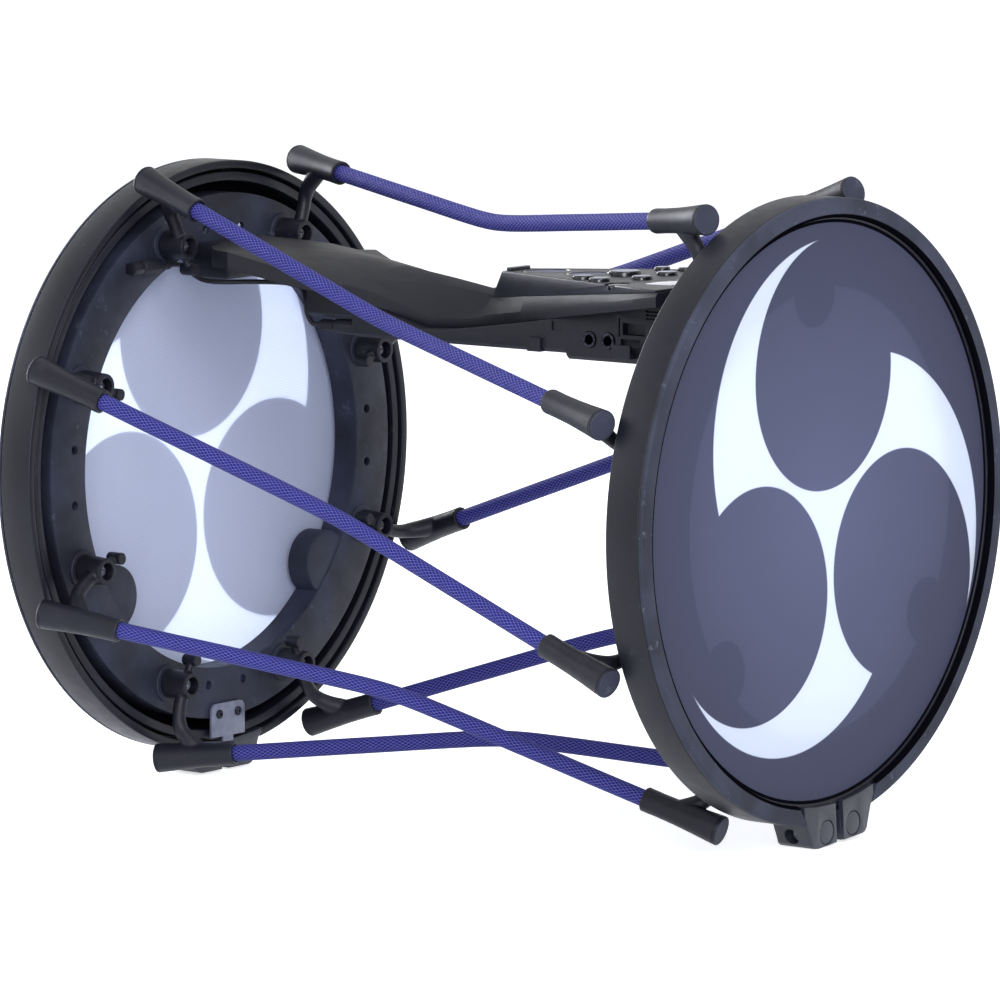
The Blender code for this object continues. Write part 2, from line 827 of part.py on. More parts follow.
def socket_mesh():
    outline = [
        (-socket_length, 0.0),
        (-socket_length, socket_body_radius),
        (0.0, socket_body_radius),
        (0.0, tip_radius + gap),
        (-tip_length - 0.0010, tip_radius + gap),
        (-tip_length - 0.0010, 0.0),
    ]
    body = revolved("pad_socket", outline, 12)
    body.transform(Matrix.Translation(socket_mouth) @ lay_along_y)
    half = socket_body_radius * 0.8
    low = (flange_face + gap, socket_mouth.y - socket_length + 0.0004, socket_mouth.z - half)
    high = (socket_mouth.x - tip_radius - 0.0009, socket_mouth.y - 0.0004, socket_mouth.z + half)
    return solid_mesh(body, joins=[box("foot", low, high)])


def pad_plug_mesh():
    # Told from the tip in the socket out to the end of the ribbed sleeve.
    ribs = []
    for index in range(3):
        start = 0.0205 + index * 0.0027
        ribs += [(start, 0.0023), (start, 0.0028), (start + 0.0016, 0.0027), (start + 0.0016, 0.0022)]
    outline = [
        (-tip_length, 0.0),
        (-tip_length, tip_radius),
        (0.0, tip_radius),
        (0.0, 0.0044),
        (0.0010, 0.0048),
        (0.0180, 0.0045),
        (0.0196, 0.0034),
        *ribs,
        (pad_plug_length, 0.0021),
        (pad_plug_length, 0.0),
    ]
    turned = revolved("pad_plug", outline, 10)
    turned.transform(Matrix.Translation(socket_mouth + Vector((0.0, gap, 0.0))) @ lay_along_y)
    return turned


put("pad_socket", socket_mesh(), black_moulding, parent=arm)
put("pad_plug", pad_plug_mesh(), soft_rubber, parent=arm)


def smooth_route(points, step):
    # A smooth curve through the places, read at even steps.
    known = [Vector(point) for point in points]
    ends = [known[0] * 2 - known[1], *known, known[-1] * 2 - known[-2]]
    fine = []
    for before, first, last, after in zip(ends, ends[1:], ends[2:], ends[3:]):
        for part in range(12):
            t = part / 12
            linear = (last - before) * t
            square = (before * 2 - first * 5 + last * 4 - after) * t**2
            cube = (first * 3 - before - last * 3 + after) * t**3
            fine.append((first * 2 + linear + square + cube) / 2)
    # The first and last stretches stay straight, so that both ends face what they meet.
    walked = known[:2]
    for place in fine[12:-12]:
        far_on = (place - walked[-1]).length >= step
        if far_on and (place - known[-2]).length > step / 2:
            walked.append(place)
    return walked + known[-2:]


# The cable leaves the chassis plug, turns up behind the chassis' end, lies under the cover and
# comes out beside the bracket to the plug on the flange.
boot_end = socket_mouth.y + gap + pad_plug_length + gap
cable_route = smooth_route(
    [
        (plug_x - 0.0339, plug_side, plug_height),
        (plug_x - 0.0394, plug_side, plug_height + 0.0003),
        (-0.1328, plug_side, 0.1010),
        (-0.1350, plug_side + 0.0010, 0.1086),
        (-0.1400, plug_side + 0.0045, 0.1155),
        (-0.1520, plug_side + 0.0080, 0.1185),
        (-0.1680, plug_side + 0.0080, 0.1188),
        (-0.1850, plug_side + 0.0020, 0.1185),
        (-0.2000, plug_side - 0.0075, 0.1182),
        (-0.2130, plug_side - 0.0098, 0.1195),
        (-0.2195, plug_side - 0.0132, 0.1250),
        (socket_mouth.x, plug_side - 0.0200, 0.1288),
        (socket_mouth.x, boot_end + 0.0050, socket_mouth.z),
        (socket_mouth.x, boot_end, socket_mouth.z),
    ],
    0.0075,
)
cable = tube("sensor_cable", cable_route, [0.0016] * len(cable_route), 2)
put("sensor_cable", cable, soft_rubber, parent=arm)


# End brackets between the arm and the flanges
bracket_half_width = 0.0330


def bracket_mesh(low, high):
    wide, narrow = bracket_half_width, bracket_half_width - 0.0035
    outline = [(-wide, 0.1300), (-narrow, 0.1190), (narrow, 0.1190), (wide, 0.1300),
               (narrow, 0.1420), (-narrow, 0.1420)]
    return extruded("bracket", outline, low, high)


left_bracket = bracket_mesh(flange_face + gap, -cover_end - gap)
put("left_bracket", left_bracket, black_moulding, parent=arm)
right_bracket = bracket_mesh(cover_right_end + gap, -flange_face - gap)
put("right_bracket", right_bracket, black_moulding, parent=arm)


# Control panel: a wedge on the arm's right half, with a pocket for each control
small_button = 0.0065
tiny_button = 0.0050
controls = [
    # name, x, y, radius, height above the panel, pocket depth
    ("round_button_1", 0.0372, 0.0, 0.0155, 0.0002, 0.0030),
    ("round_button_2", 0.0730, -0.0040, 0.0145, 0.0002, 0.0030),
    ("volume_knob", 0.1000, -0.0030, 0.0100, 0.0030, 0.0020),
    ("button_1", 0.0930, -0.0370, small_button, 0.0023, 0.0030),
    ("button_2", 0.1130, -0.0470, small_button, 0.0023, 0.0030),
    ("button_3", 0.1280, -0.0230, small_button, 0.0023, 0.0030),
    ("button_4", 0.1230, 0.0100, small_button, 0.0023, 0.0030),
    ("button_5", 0.0990, 0.0380, tiny_button, 0.0023, 0.0030),
    ("button_6", 0.1150, 0.0410, tiny_button, 0.0023, 0.0030),
    ("recessed_button", 0.1350, -0.0570, 0.0062, -0.0004, 0.0036),
]
tip_x = 0.0148
tip_half_x = 0.0020
tip_half_y = 0.0100
tip_height = 0.0022
tip_pocket = 0.0030
tilt = (0.0, -math.atan(panel_slope), 0.0)
tilt_matrix = Matrix.Rotation(tilt[1], 4, "Y")


def on_panel(x, y):
    return Vector((x, y, panel_at(x)))


def tip_bar(name, spread, low, high):
    return box(
        name,
        (-tip_half_x - spread, -tip_half_y - spread, low),
        (tip_half_x + spread, tip_half_y + spread, high),
    )


def panel_tool(x, y, radius, depth, sides=18):
    work = bmesh.new()
    bmesh.ops.create_cone(
        work,
        cap_ends=True,
        segments=sides,
        radius1=radius,
        radius2=radius,
        depth=depth + 0.004,
        matrix=Matrix.Translation(on_panel(x, y)) @ tilt_matrix
        @ Matrix.Translation((0, 0, 0.002 - depth / 2)),
    )
    return mesh_from(work, "panel_tool")


window_low = (0.1505, -0.0500)
window_high = (0.1690, 0.0000)
window_sink = 0.0010


def panel_mesh():
    work = bmesh.new()
    foot_x = seat_start + 0.0003
    spots = [
        (foot_x, seat_half_at(foot_x), seat_at(foot_x) + gap),
        (panel_start, seat_half_at(panel_start), seat_at(panel_start) + gap),
        (panel_end, seat_half_at(panel_end), seat_at(panel_end) + gap),
        (panel_end, seat_half_at(panel_end), panel_at(panel_end)),
        (panel_start, seat_half_at(panel_start), panel_at(panel_start)),
    ]
    near = [work.verts.new((x, -y, z)) for x, y, z in spots]
    far = [work.verts.new((x, y, z)) for x, y, z in spots]
    for side in (near, far):
        work.faces.new((side[0], side[1], side[4]))
        work.faces.new((side[1], side[2], side[3], side[4]))
    for first, second in ((0, 1), (1, 2), (2, 3), (3, 4), (4, 0)):
        work.faces.new((near[first], near[second], far[second], far[first]))
    top = [edge for edge in work.edges if all(v in near[3:] + far[3:] for v in edge.verts)]
    bmesh.ops.bevel(work, geom=top, offset=0.0010, segments=2, affect="EDGES", profile=0.5)
    block = mesh_from(work, "control_panel")
    cuts = [
        panel_tool(x, y, radius + (0.0009 if "round" in name else button_play), depth)
        for name, x, y, radius, _, depth in controls
    ]
    recess = next(item for item in controls if item[0] == "recessed_button")
    cuts.append(panel_tool(recess[1], recess[2], 0.0085, 0.0012))
    tip = tip_bar("tip_pocket", button_play, -tip_pocket, 0.0030)
    tip.transform(Matrix.Translation(on_panel(tip_x, 0.0)) @ tilt_matrix)
    cuts.append(tip)
    deep = window_sink + gap
    cuts.append(
        box(
            "window_pocket",
            (window_low[0] - gap, window_low[1] - gap, panel_at(window_low[0]) - deep),
            (window_high[0] + gap, window_high[1] + gap, panel_at(window_high[0]) + 0.002),
        )
    )
    return solid_mesh(block, cuts=cuts)


put("control_panel", panel_mesh(), panel_plastic, parent=arm)
window = box(
    "display_window",
    (window_low[0], window_low[1], panel_at(window_low[0]) - window_sink),
    (window_high[0], window_high[1], panel_at(window_high[0])),
)
put("display_window", window, window_plastic, parent=arm)

for name, x, y, radius, height, depth in controls:
    low = -depth + (gap if "knob" in name else button_travel + gap)
    edge = 0.0006
    dish = 0.0006 if "round" in name else 0.0
    outline = [
        (low, 0.0),
        (low, radius),
        (height - edge, radius),
        (height, radius - edge),
        (height - dish, radius * 0.6),
        (height - dish, 0.0),
    ]
    mesh = revolved(name, outline, 14, axis=(0, 0, 1))
    put(name, mesh, key_rubber, parent=arm, location=on_panel(x, y), rotation=tilt)
tip_mesh = tip_bar("tip_button", 0.0, -tip_pocket + button_travel + gap, tip_height)
put("tip_button", tip_mesh, key_rubber, parent=arm, location=on_panel(tip_x, 0.0), rotation=tilt)

for item in bpy.data.objects:
    if item.type == "MESH":
        item.data.shade_smooth()
        item.data.set_sharp_from_angle(angle=math.radians(35))
print("axis height above the floor:", round(axis_height, 5))
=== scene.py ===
import math

import bmesh
import bpy
from mathutils import Matrix, Vector


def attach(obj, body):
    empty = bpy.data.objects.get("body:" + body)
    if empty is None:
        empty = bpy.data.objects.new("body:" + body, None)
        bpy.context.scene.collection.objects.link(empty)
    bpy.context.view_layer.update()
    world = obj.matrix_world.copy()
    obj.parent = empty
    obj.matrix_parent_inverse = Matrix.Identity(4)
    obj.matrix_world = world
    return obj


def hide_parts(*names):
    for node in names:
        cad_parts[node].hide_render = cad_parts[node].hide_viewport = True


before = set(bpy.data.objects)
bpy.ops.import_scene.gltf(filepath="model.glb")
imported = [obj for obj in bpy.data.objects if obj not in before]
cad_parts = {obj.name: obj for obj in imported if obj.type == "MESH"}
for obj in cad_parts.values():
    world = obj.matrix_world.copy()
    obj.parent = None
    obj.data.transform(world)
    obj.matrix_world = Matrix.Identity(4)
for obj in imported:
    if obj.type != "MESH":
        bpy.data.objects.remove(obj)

bpy.ops.object.select_all(action="DESELECT")
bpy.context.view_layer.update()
print("frame loaded:", len(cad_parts), "pieces")

# Sizes are in metres, in the frame's own axes: X along the pads' axis, Z up.
drum = {
    "axisHeight": 0.207603,      # pads' axis above the lowest point
    "halfLength": 0.2535,        # middle to the front of a rim
    "flangeFace": 0.2263,        # face of the frame's flange, from the middle
    "headFront": 0.2486,
    "hooksPerPad": 8,
    "rightTurn": math.radians(4.1),
}
upAxis = Vector((0.0, 0.0, drum["axisHeight"]))


def toLinear(hexCode):
    channels = [int(hexCode[i:i + 2], 16) / 255 for i in (1, 3, 5)]
    linear = [c / 12.92 if c <= 0.04045 else ((c + 0.055) / 1.055) ** 2.4 for c in channels]
    return (*linear, 1.0)


def addNode(tree, kind, inputs=None, **settings):
    # adds a node, sets its properties, and sets or links its inputs
    node = tree.nodes.new(kind)
    for key, value in settings.items():
        setattr(node, key, value)
    for key, value in (inputs or {}).items():
        if isinstance(value, bpy.types.NodeSocket):
            tree.links.new(value, node.inputs[key])
        else:
            node.inputs[key].default_value = value
    return node


def newMaterial(name):
    material = bpy.data.materials.new(name)
    material.use_nodes = True
    tree = material.node_tree
    shader = tree.nodes["Principled BSDF"]
    return material, tree, shader


def setRamp(node, stops):
    ramp = node.color_ramp
    while len(ramp.elements) < len(stops):
        ramp.elements.new(0.5)
    for element, (place, colour) in zip(ramp.elements, stops):
        element.position = place
        element.color = colour


# Finishes
def mouldedFinish(name, dark, light, grainMm, roughLow, roughHigh, bump, scuff="#6a6a74", gloss=0.26):
    # Moulded plastic or rubber: fine spark-eroded grain, slow drift of tone, faint handling marks.
    material, tree, shader = newMaterial(name)
    place = addNode(tree, "ShaderNodeTexCoord").outputs["Object"]
    drift = addNode(tree, "ShaderNodeTexNoise", {"Vector": place, "Scale": 1 / 0.045, "Detail": 3.0})
    tone = addNode(tree, "ShaderNodeValToRGB", {"Fac": drift.outputs["Fac"]})
    setRamp(tone, [(0.35, toLinear(dark)), (0.68, toLinear(light))])
    marks = addNode(tree, "ShaderNodeTexNoise", {"Vector": place, "Scale": 1 / 0.011, "Detail": 7.0,
                                                 "Roughness": 0.72})
    markMask = addNode(tree, "ShaderNodeMapRange", {"Value": marks.outputs["Fac"], "From Min": 0.60,
                                                    "From Max": 0.80, "To Max": 0.36})
    mixed = addNode(tree, "ShaderNodeMix", {"Factor": markMask.outputs["Result"],
                                            "A": tone.outputs["Color"], "B": toLinear(scuff)},
                    data_type="RGBA")
    tree.links.new(mixed.outputs[2], shader.inputs["Base Color"])
    sheen = addNode(tree, "ShaderNodeMapRange", {"Value": marks.outputs["Fac"], "From Min": 0.3,
                                                 "From Max": 0.75, "To Min": roughLow,
                                                 "To Max": roughHigh})
    tree.links.new(sheen.outputs["Result"], shader.inputs["Roughness"])
    grain = addNode(tree, "ShaderNodeTexNoise", {"Vector": place, "Scale": 1000 / grainMm,
                                                 "Detail": 2.0})
    relief = addNode(tree, "ShaderNodeBump", {"Height": grain.outputs["Fac"], "Strength": bump,
                                              "Distance": 0.0002})
    tree.links.new(relief.outputs["Normal"], shader.inputs["Normal"])
    shader.inputs["IOR"].default_value = 1.5
    shader.inputs["Specular IOR Level"].default_value = gloss
    return material


# glass-filled nylon of the hooks and frames: satin black, grey where light grazes it
nylonBlack = mouldedFinish("glassFilledNylon", "#0c0d15", "#151621", 0.6, 0.36, 0.56, 0.22, "#5c5d6a")
# the hooks' caps, rubbed grey
rubbedNylon = mouldedFinish("rubbedNylon", "#1c1d28", "#343645", 0.6, 0.50, 0.68, 0.20, "#8c8fa0")
# the same moulding on the frames, greyed by dust that nobody wipes
dustyNylon = mouldedFinish("dustyNylon", "#161722", "#2e3142", 0.6, 0.44, 0.66, 0.24, "#7c8094")
# painted band of the hoops: smoother and a little bluer
hoopPaint = mouldedFinish("satinPaintOnHoop", "#0b0c14", "#12131d", 0.9, 0.36, 0.54, 0.10, "#4c4d5a")
# the clamp castings: the hoops' paint with more gloss, painted lighter for the light they catch (painted
# light)
castingPaintLit = mouldedFinish("castingPaintPaintedLight", "#20212b", "#2c2e3a", 0.9, 0.34, 0.50, 0.16, "#6a6c7a",
                             0.5)
# moulded rubber of the rims: dull, with a dusty bloom
rimRubber = mouldedFinish("mouldedRubber", "#20222d", "#363949", 0.7, 0.58, 0.76, 0.24, "#b0b4c4")
# soft black rubber of plugs and cable
plugRubber = mouldedFinish("softBlackRubber", "#101118", "#1a1b24", 0.5, 0.50, 0.64, 0.14, "#4a4a55")
# ABS of the arm: fine even texture
armPlastic = mouldedFinish("texturedABS", "#0b0c13", "#11121b", 0.5, 0.44, 0.56, 0.16, "#42424c")
panelPlastic = mouldedFinish("panelABS", "#13141e", "#1a1c28", 0.5, 0.36, 0.48, 0.14, "#50505c")
# glossy black sides of the keys and the knob
keyBlack = mouldedFinish("glossyKeyBlack", "#0e0e13", "#16161c", 0.5, 0.16, 0.28, 0.04, "#2c2c34",
                         0.5)
# pale tops of the keys, worn a little where fingers press
keyPale = mouldedFinish("paleKeyTop", "#a4a6b4", "#b9bbc8", 0.5, 0.40, 0.52, 0.06, "#aeb0bd")
# lavender-grey rubber of the two large flush buttons
padRubber = mouldedFinish("lavenderPadRubber", "#4b4d63", "#5d6078", 0.5, 0.48, 0.60, 0.10, "#9a9cbc")


def rimFinish():
    # the rubber rim, with its edge next to the head painted near-black and dull: painted shade of the
    # gap by the head
    material = rimRubber
    tree = material.node_tree
    shader = tree.nodes["Principled BSDF"]
    base = shader.inputs["Base Color"].links[0].from_socket
    place = addNode(tree, "ShaderNodeTexCoord").outputs["Object"]
    centred = addNode(tree, "ShaderNodeVectorMath", {0: place, 1: (0.0, 0.0, drum["axisHeight"])},
                      operation="SUBTRACT").outputs["Vector"]
    flat = addNode(tree, "ShaderNodeVectorMath", {0: centred, 1: (0.0, 1.0, 1.0)},
                   operation="MULTIPLY").outputs["Vector"]
    fromAxis = addNode(tree, "ShaderNodeVectorMath", {0: flat}, operation="LENGTH").outputs["Value"]
    # painted shade: a near-black band without gloss at the rim's inner edge
    edge = addNode(tree, "ShaderNodeMapRange", {"Value": fromAxis, "From Min": 0.1826,
                                                "From Max": 0.1832})
    rimWithPaintedShade = addNode(tree, "ShaderNodeMix", {"Factor": edge.outputs["Result"],
                                            "A": toLinear("#07070b"), "B": base}, data_type="RGBA")
    tree.links.new(rimWithPaintedShade.outputs[2], shader.inputs["Base Color"])
    gloss = addNode(tree, "ShaderNodeMapRange", {"Value": edge.outputs["Result"], "To Max": 0.26})
    tree.links.new(gloss.outputs["Result"], shader.inputs["Specular IOR Level"])
    return material


def platedSteel(name, dark, light):
    # plated or blackened steel: cloudy tone, worn brighter in places
    material, tree, shader = newMaterial(name)
    place = addNode(tree, "ShaderNodeTexCoord").outputs["Object"]
    wear = addNode(tree, "ShaderNodeTexNoise", {"Vector": place, "Scale": 1 / 0.0016, "Detail": 5.0})
    tone = addNode(tree, "ShaderNodeValToRGB", {"Fac": wear.outputs["Fac"]})
    setRamp(tone, [(0.38, toLinear(dark)), (0.66, toLinear(light))])
    tree.links.new(tone.outputs["Color"], shader.inputs["Base Color"])
    shader.inputs["Metallic"].default_value = 1.0
    rough = addNode(tree, "ShaderNodeMapRange", {"Value": wear.outputs["Fac"], "To Min": 0.28,
                                                 "To Max": 0.50})
    tree.links.new(rough.outputs["Result"], shader.inputs["Roughness"])
    return material


def translucentTab():
    # pale moulded polycarbonate: clear enough to show the black behind as grey
    material, tree, shader = newMaterial("frostedPolycarbonate")
    place = addNode(tree, "ShaderNodeTexCoord").outputs["Object"]
    haze = addNode(tree, "ShaderNodeTexNoise", {"Vector": place, "Scale": 1 / 0.006, "Detail": 4.0})
    tone = addNode(tree, "ShaderNodeValToRGB", {"Fac": haze.outputs["Fac"]})
    setRamp(tone, [(0.3, toLinear("#6c7086")), (0.7, toLinear("#868aa0"))])
    tree.links.new(tone.outputs["Color"], shader.inputs["Base Color"])
    shader.inputs["Roughness"].default_value = 0.32
    shader.inputs["Transmission Weight"].default_value = 0.25
    shader.inputs["IOR"].default_value = 1.58
    return material


def displayWindow():
    # bright acrylic window: a white field under a clear, slightly uneven skin
    material, tree, shader = newMaterial("clearAcrylicWindow")
    place = addNode(tree, "ShaderNodeTexCoord").outputs["Object"]
    haze = addNode(tree, "ShaderNodeTexNoise", {"Vector": place, "Scale": 1 / 0.012, "Detail": 2.0})
    tone = addNode(tree, "ShaderNodeValToRGB", {"Fac": haze.outputs["Fac"]})
    setRamp(tone, [(0.3, toLinear("#d7dbe4")), (0.7, toLinear("#f2f4f8"))])
    tree.links.new(tone.outputs["Color"], shader.inputs["Base Color"])
    shader.inputs["Roughness"].default_value = 0.12
    shader.inputs["Coat Weight"].default_value = 0.6
    return material


# Heads: two-ply woven mesh with a printed three-comma figure
headPrint = {
    "commaCentre": 0.0872,       # figure's middle to the middle of each dark disc
    "commaRadius": 0.0721,
    "tailCentre": (0.0036, 0.0483),
    "tailRadius": 0.1214,
    "innerCentre": (0.0115, 0.0872),
    "innerRadius": 0.0836,
    "threadMm": 2.1,             # real threads are 0.5 mm apart; drawn coarser so that they show
    "skinRadius": 0.1775,        # outside, the skin is painted near-black from here out: painted shade of the groove between skin and rim
    "skinInside": 0.1700,        # inside, the frame's wall hides the rest, and the skin there is painted near-black as its shade
    "frameShadeFrom": 0.1385,        # painted shade of the frame behind the skin, from here outwards
    "lobeCircle": 0.1360,
    "lobeRadius": 0.0215,
}


def printedMesh(name, offset, turn, hand):
    material, tree, shader = newMaterial(name)
    place = addNode(tree, "ShaderNodeTexCoord").outputs["Object"]
    split = addNode(tree, "ShaderNodeSeparateXYZ", {"Vector": place})

    def calc(operation, first, second=0.0, third=0.0):
        node = addNode(tree, "ShaderNodeMath", operation=operation)
        for index, value in enumerate((first, second, third)):
            if isinstance(value, bpy.types.NodeSocket):
                tree.links.new(value, node.inputs[index])
            else:
                node.inputs[index].default_value = value
        return node.outputs[0]

    across = calc("MULTIPLY", calc("SUBTRACT", split.outputs["Y"], offset[0]), hand)
    upward = calc("SUBTRACT", split.outputs["Z"], offset[1] + drum["axisHeight"])
    angle = calc("ARCTAN2", calc("MULTIPLY", across, -1.0), upward)
    third = 2 * math.pi / 3
    folded = calc("FLOORED_MODULO", calc("SUBTRACT", angle, turn), third)
    reach = calc("SQRT", calc("ADD", calc("MULTIPLY", across, across),
                              calc("MULTIPLY", upward, upward)))
    sideways = calc("MULTIPLY", calc("MULTIPLY", reach, calc("SINE", folded)), -1.0)
    along = calc("MULTIPLY", reach, calc("COSINE", folded))
    point = addNode(tree, "ShaderNodeCombineXYZ", {"X": sideways, "Y": along}).outputs[0]

    def within(centre, radius):
        # 1 inside a circle of the figure, with an edge as soft as screen printing
        away = addNode(tree, "ShaderNodeVectorMath", {0: point, 1: (*centre, 0.0)},
                       operation="DISTANCE").outputs["Value"]
        edge = addNode(tree, "ShaderNodeMapRange", {"Value": away, "From Min": radius - 0.0003,
                                                    "From Max": radius + 0.0003, "To Min": 1.0,
                                                    "To Max": 0.0})
        return edge.outputs["Result"]

    disc = (0.0, headPrint["commaCentre"])
    nextDisc = (-headPrint["commaCentre"] * math.sin(third),
                headPrint["commaCentre"] * math.cos(third))
    upper = calc("GREATER_THAN", along, headPrint["innerCentre"][1])
    innerLow = within(disc, headPrint["commaRadius"])
    innerHigh = within(headPrint["innerCentre"], headPrint["innerRadius"])
    inner = calc("ADD", calc("MULTIPLY", innerHigh, upper),
                 calc("MULTIPLY", innerLow, calc("SUBTRACT", 1.0, upper)))
    pale = calc("MULTIPLY", within(headPrint["tailCentre"], headPrint["tailRadius"]),
                calc("SUBTRACT", 1.0, inner))
    pale = calc("MULTIPLY", pale,
                calc("SUBTRACT", 1.0, within(nextDisc, headPrint["commaRadius"])))

    centred = addNode(tree, "ShaderNodeCombineXYZ", {
        "X": split.outputs["Y"],
        "Y": calc("SUBTRACT", split.outputs["Z"], drum["axisHeight"])}).outputs[0]
    fromAxis = addNode(tree, "ShaderNodeVectorMath", {0: centred}, operation="LENGTH").outputs["Value"]
    # the bare ink is painted darker towards the rim: painted shade
    inkShadeToRim = addNode(tree, "ShaderNodeMapRange", {"Value": fromAxis, "From Max": 0.18})
    bareInk = addNode(tree, "ShaderNodeMix", {"Factor": inkShadeToRim.outputs["Result"],
                                              "A": toLinear("#636784"), "B": toLinear("#4a4d66")},
                      data_type="RGBA").outputs[2]

    # painted shade: the frame and its three sensor covers behind the open mesh are painted in as darker
    # zones
    paintedShadeBehind = addNode(tree, "ShaderNodeMapRange", {
        "Value": fromAxis, "From Min": headPrint["frameShadeFrom"] - 0.0010,
        "From Max": headPrint["frameShadeFrom"] + 0.0010}).outputs["Result"]
    for lobeAngle in (0.0, 127.0, 233.0):
        lean = math.radians(lobeAngle) + (drum["rightTurn"] if hand > 0 else 0.0)
        lobeAt = (-hand * headPrint["lobeCircle"] * math.sin(lean),
                  headPrint["lobeCircle"] * math.cos(lean), 0.0)
        away = addNode(tree, "ShaderNodeVectorMath", {0: centred, 1: lobeAt},
                       operation="DISTANCE").outputs["Value"]
        lobe = addNode(tree, "ShaderNodeMapRange", {
            "Value": away, "From Min": headPrint["lobeRadius"] - 0.0008,
            "From Max": headPrint["lobeRadius"] + 0.0008, "To Min": 1.0, "To Max": 0.0})
        paintedShadeBehind = calc("MAXIMUM", paintedShadeBehind, lobe.outputs["Result"])
    inkWithPaintedShade = addNode(tree, "ShaderNodeMix", {"Factor": calc("MULTIPLY", paintedShadeBehind, 0.34),
                                              "A": bareInk, "B": toLinear("#2f3350")},
                      data_type="RGBA").outputs[2]
    outsideTone = addNode(tree, "ShaderNodeMix", {"Factor": pale, "A": inkWithPaintedShade,
                                                  "B": toLinear("#e8eefb")}, data_type="RGBA").outputs[2]
    insideTone = addNode(tree, "ShaderNodeMix", {"Factor": pale, "A": toLinear("#d0d6e8"),
                                                 "B": toLinear("#eaeefa")}, data_type="RGBA").outputs[2]
    outer = calc("GREATER_THAN", calc("ABSOLUTE", split.outputs["X"]), drum["headFront"] - 0.0004)
    printed = addNode(tree, "ShaderNodeMix", {"Factor": outer, "A": insideTone, "B": outsideTone},
                      data_type="RGBA").outputs[2]

    # the two thread directions cross at 45 degrees to the vertical
    pitch = headPrint["threadMm"] / 1000
    phase = 2 * math.pi / pitch
    plus = calc("SINE", calc("MULTIPLY", calc("ADD", split.outputs["Y"], split.outputs["Z"]), phase))
    minus = calc("SINE", calc("MULTIPLY", calc("SUBTRACT", split.outputs["Y"], split.outputs["Z"]),
                              phase))
    weave = calc("MULTIPLY", plus, minus)
    depth = calc("ADD", calc("MULTIPLY", outer, -0.140), 0.165)
    shade = calc("ADD", 1.0, calc("MULTIPLY", weave, depth))
    shaded = addNode(tree, "ShaderNodeVectorMath", {0: printed, "Scale": shade},
                     operation="SCALE").outputs["Vector"]
    # past this radius the skin is painted near-black, without gloss or light through it: painted shade
    # of the groove by the rim outside and behind the frame's wall inside
    shadeRingFrom = calc("ADD", calc("MULTIPLY", outer, headPrint["skinRadius"] - headPrint["skinInside"]),
                   headPrint["skinInside"])
    paintedShadeRing = calc("GREATER_THAN", fromAxis, shadeRingFrom)
    whole = addNode(tree, "ShaderNodeMix", {"Factor": paintedShadeRing, "A": shaded,
                                            "B": toLinear("#0b0b11")}, data_type="RGBA").outputs[2]
    tree.links.new(whole, shader.inputs["Base Color"])
    relief = addNode(tree, "ShaderNodeBump", {"Height": weave, "Strength": 0.12, "Distance": 0.0002})
    tree.links.new(relief.outputs["Normal"], shader.inputs["Normal"])
    shader.inputs["Roughness"].default_value = 0.62
    tree.links.new(calc("MULTIPLY", calc("SUBTRACT", 1.0, paintedShadeRing), 0.5),
                   shader.inputs["Specular IOR Level"])
    # light comes through the open weave
    through = addNode(tree, "ShaderNodeBsdfTranslucent", {"Color": whole,
                                                          "Normal": relief.outputs["Normal"]})
    share = calc("MULTIPLY", calc("SUBTRACT", 1.0, paintedShadeRing), 0.42)
    blend = addNode(tree, "ShaderNodeMixShader", {0: share, 1: shader.outputs["BSDF"],
                                                  2: through.outputs["BSDF"]})
    tree.links.new(blend.outputs["Shader"], tree.nodes["Material Output"].inputs["Surface"])
    return material


rightHeadMesh = printedMesh("wovenMeshRight", (0.0063, -0.0019), math.radians(3.6), 1.0)
leftHeadMesh = printedMesh("wovenMeshLeft", (-0.0017, -0.0032), math.radians(-3.3), -1.0)
print("finishes ready")


# Ropes
ropeForm = {
    "radius": 0.0053,
    "sides": 24,
    "stepMm": 2.5,
    "inMouth": 0.0160,
    "strands": 15,               # braid strands each way round
    "cellLength": 0.0040,        # along the rope
    # share of the span and inward bow, the same points as the part's own route
    "bow": [(0.00, 0.0000), (0.09, 0.0031), (0.18, 0.0063), (0.27, 0.0094),
            (0.36, 0.0126), (0.42, 0.0146), (0.46, 0.0157), (0.50, 0.0162)],
}
hookForm = {
    "barOuterEnd": Vector((-0.2232, -0.0050, 0.2032)),
    "barMouth": Vector((-0.1722, -0.0192, 0.1909)),
    "endRadius": 0.0096,
    "mouthRadius": 0.0078,
    "boreRadius": 0.0060,
    "boreDepth": 0.0220,
    "bossCircle": 0.1542,
    "bossRadius": 0.0084,
    "bossRoot": 0.0098,
    "bossTop": -0.2051,
    "bossBase": -0.2238,
    "socketRadius": 0.0057,
    "socketDepth": 0.0120,
    "armRadius": 0.0043,
    "waist": [(0.12, 0.985), (0.32, 0.955), (0.55, 0.955), (0.80, 0.975)],
    "capGroove": 0.0021,         # a parting line this far from the cap
    "screwSink": 0.0042,
    "voxel": 0.00062,
}
barWay = (hookForm["barMouth"] - hookForm["barOuterEnd"]).normalized()


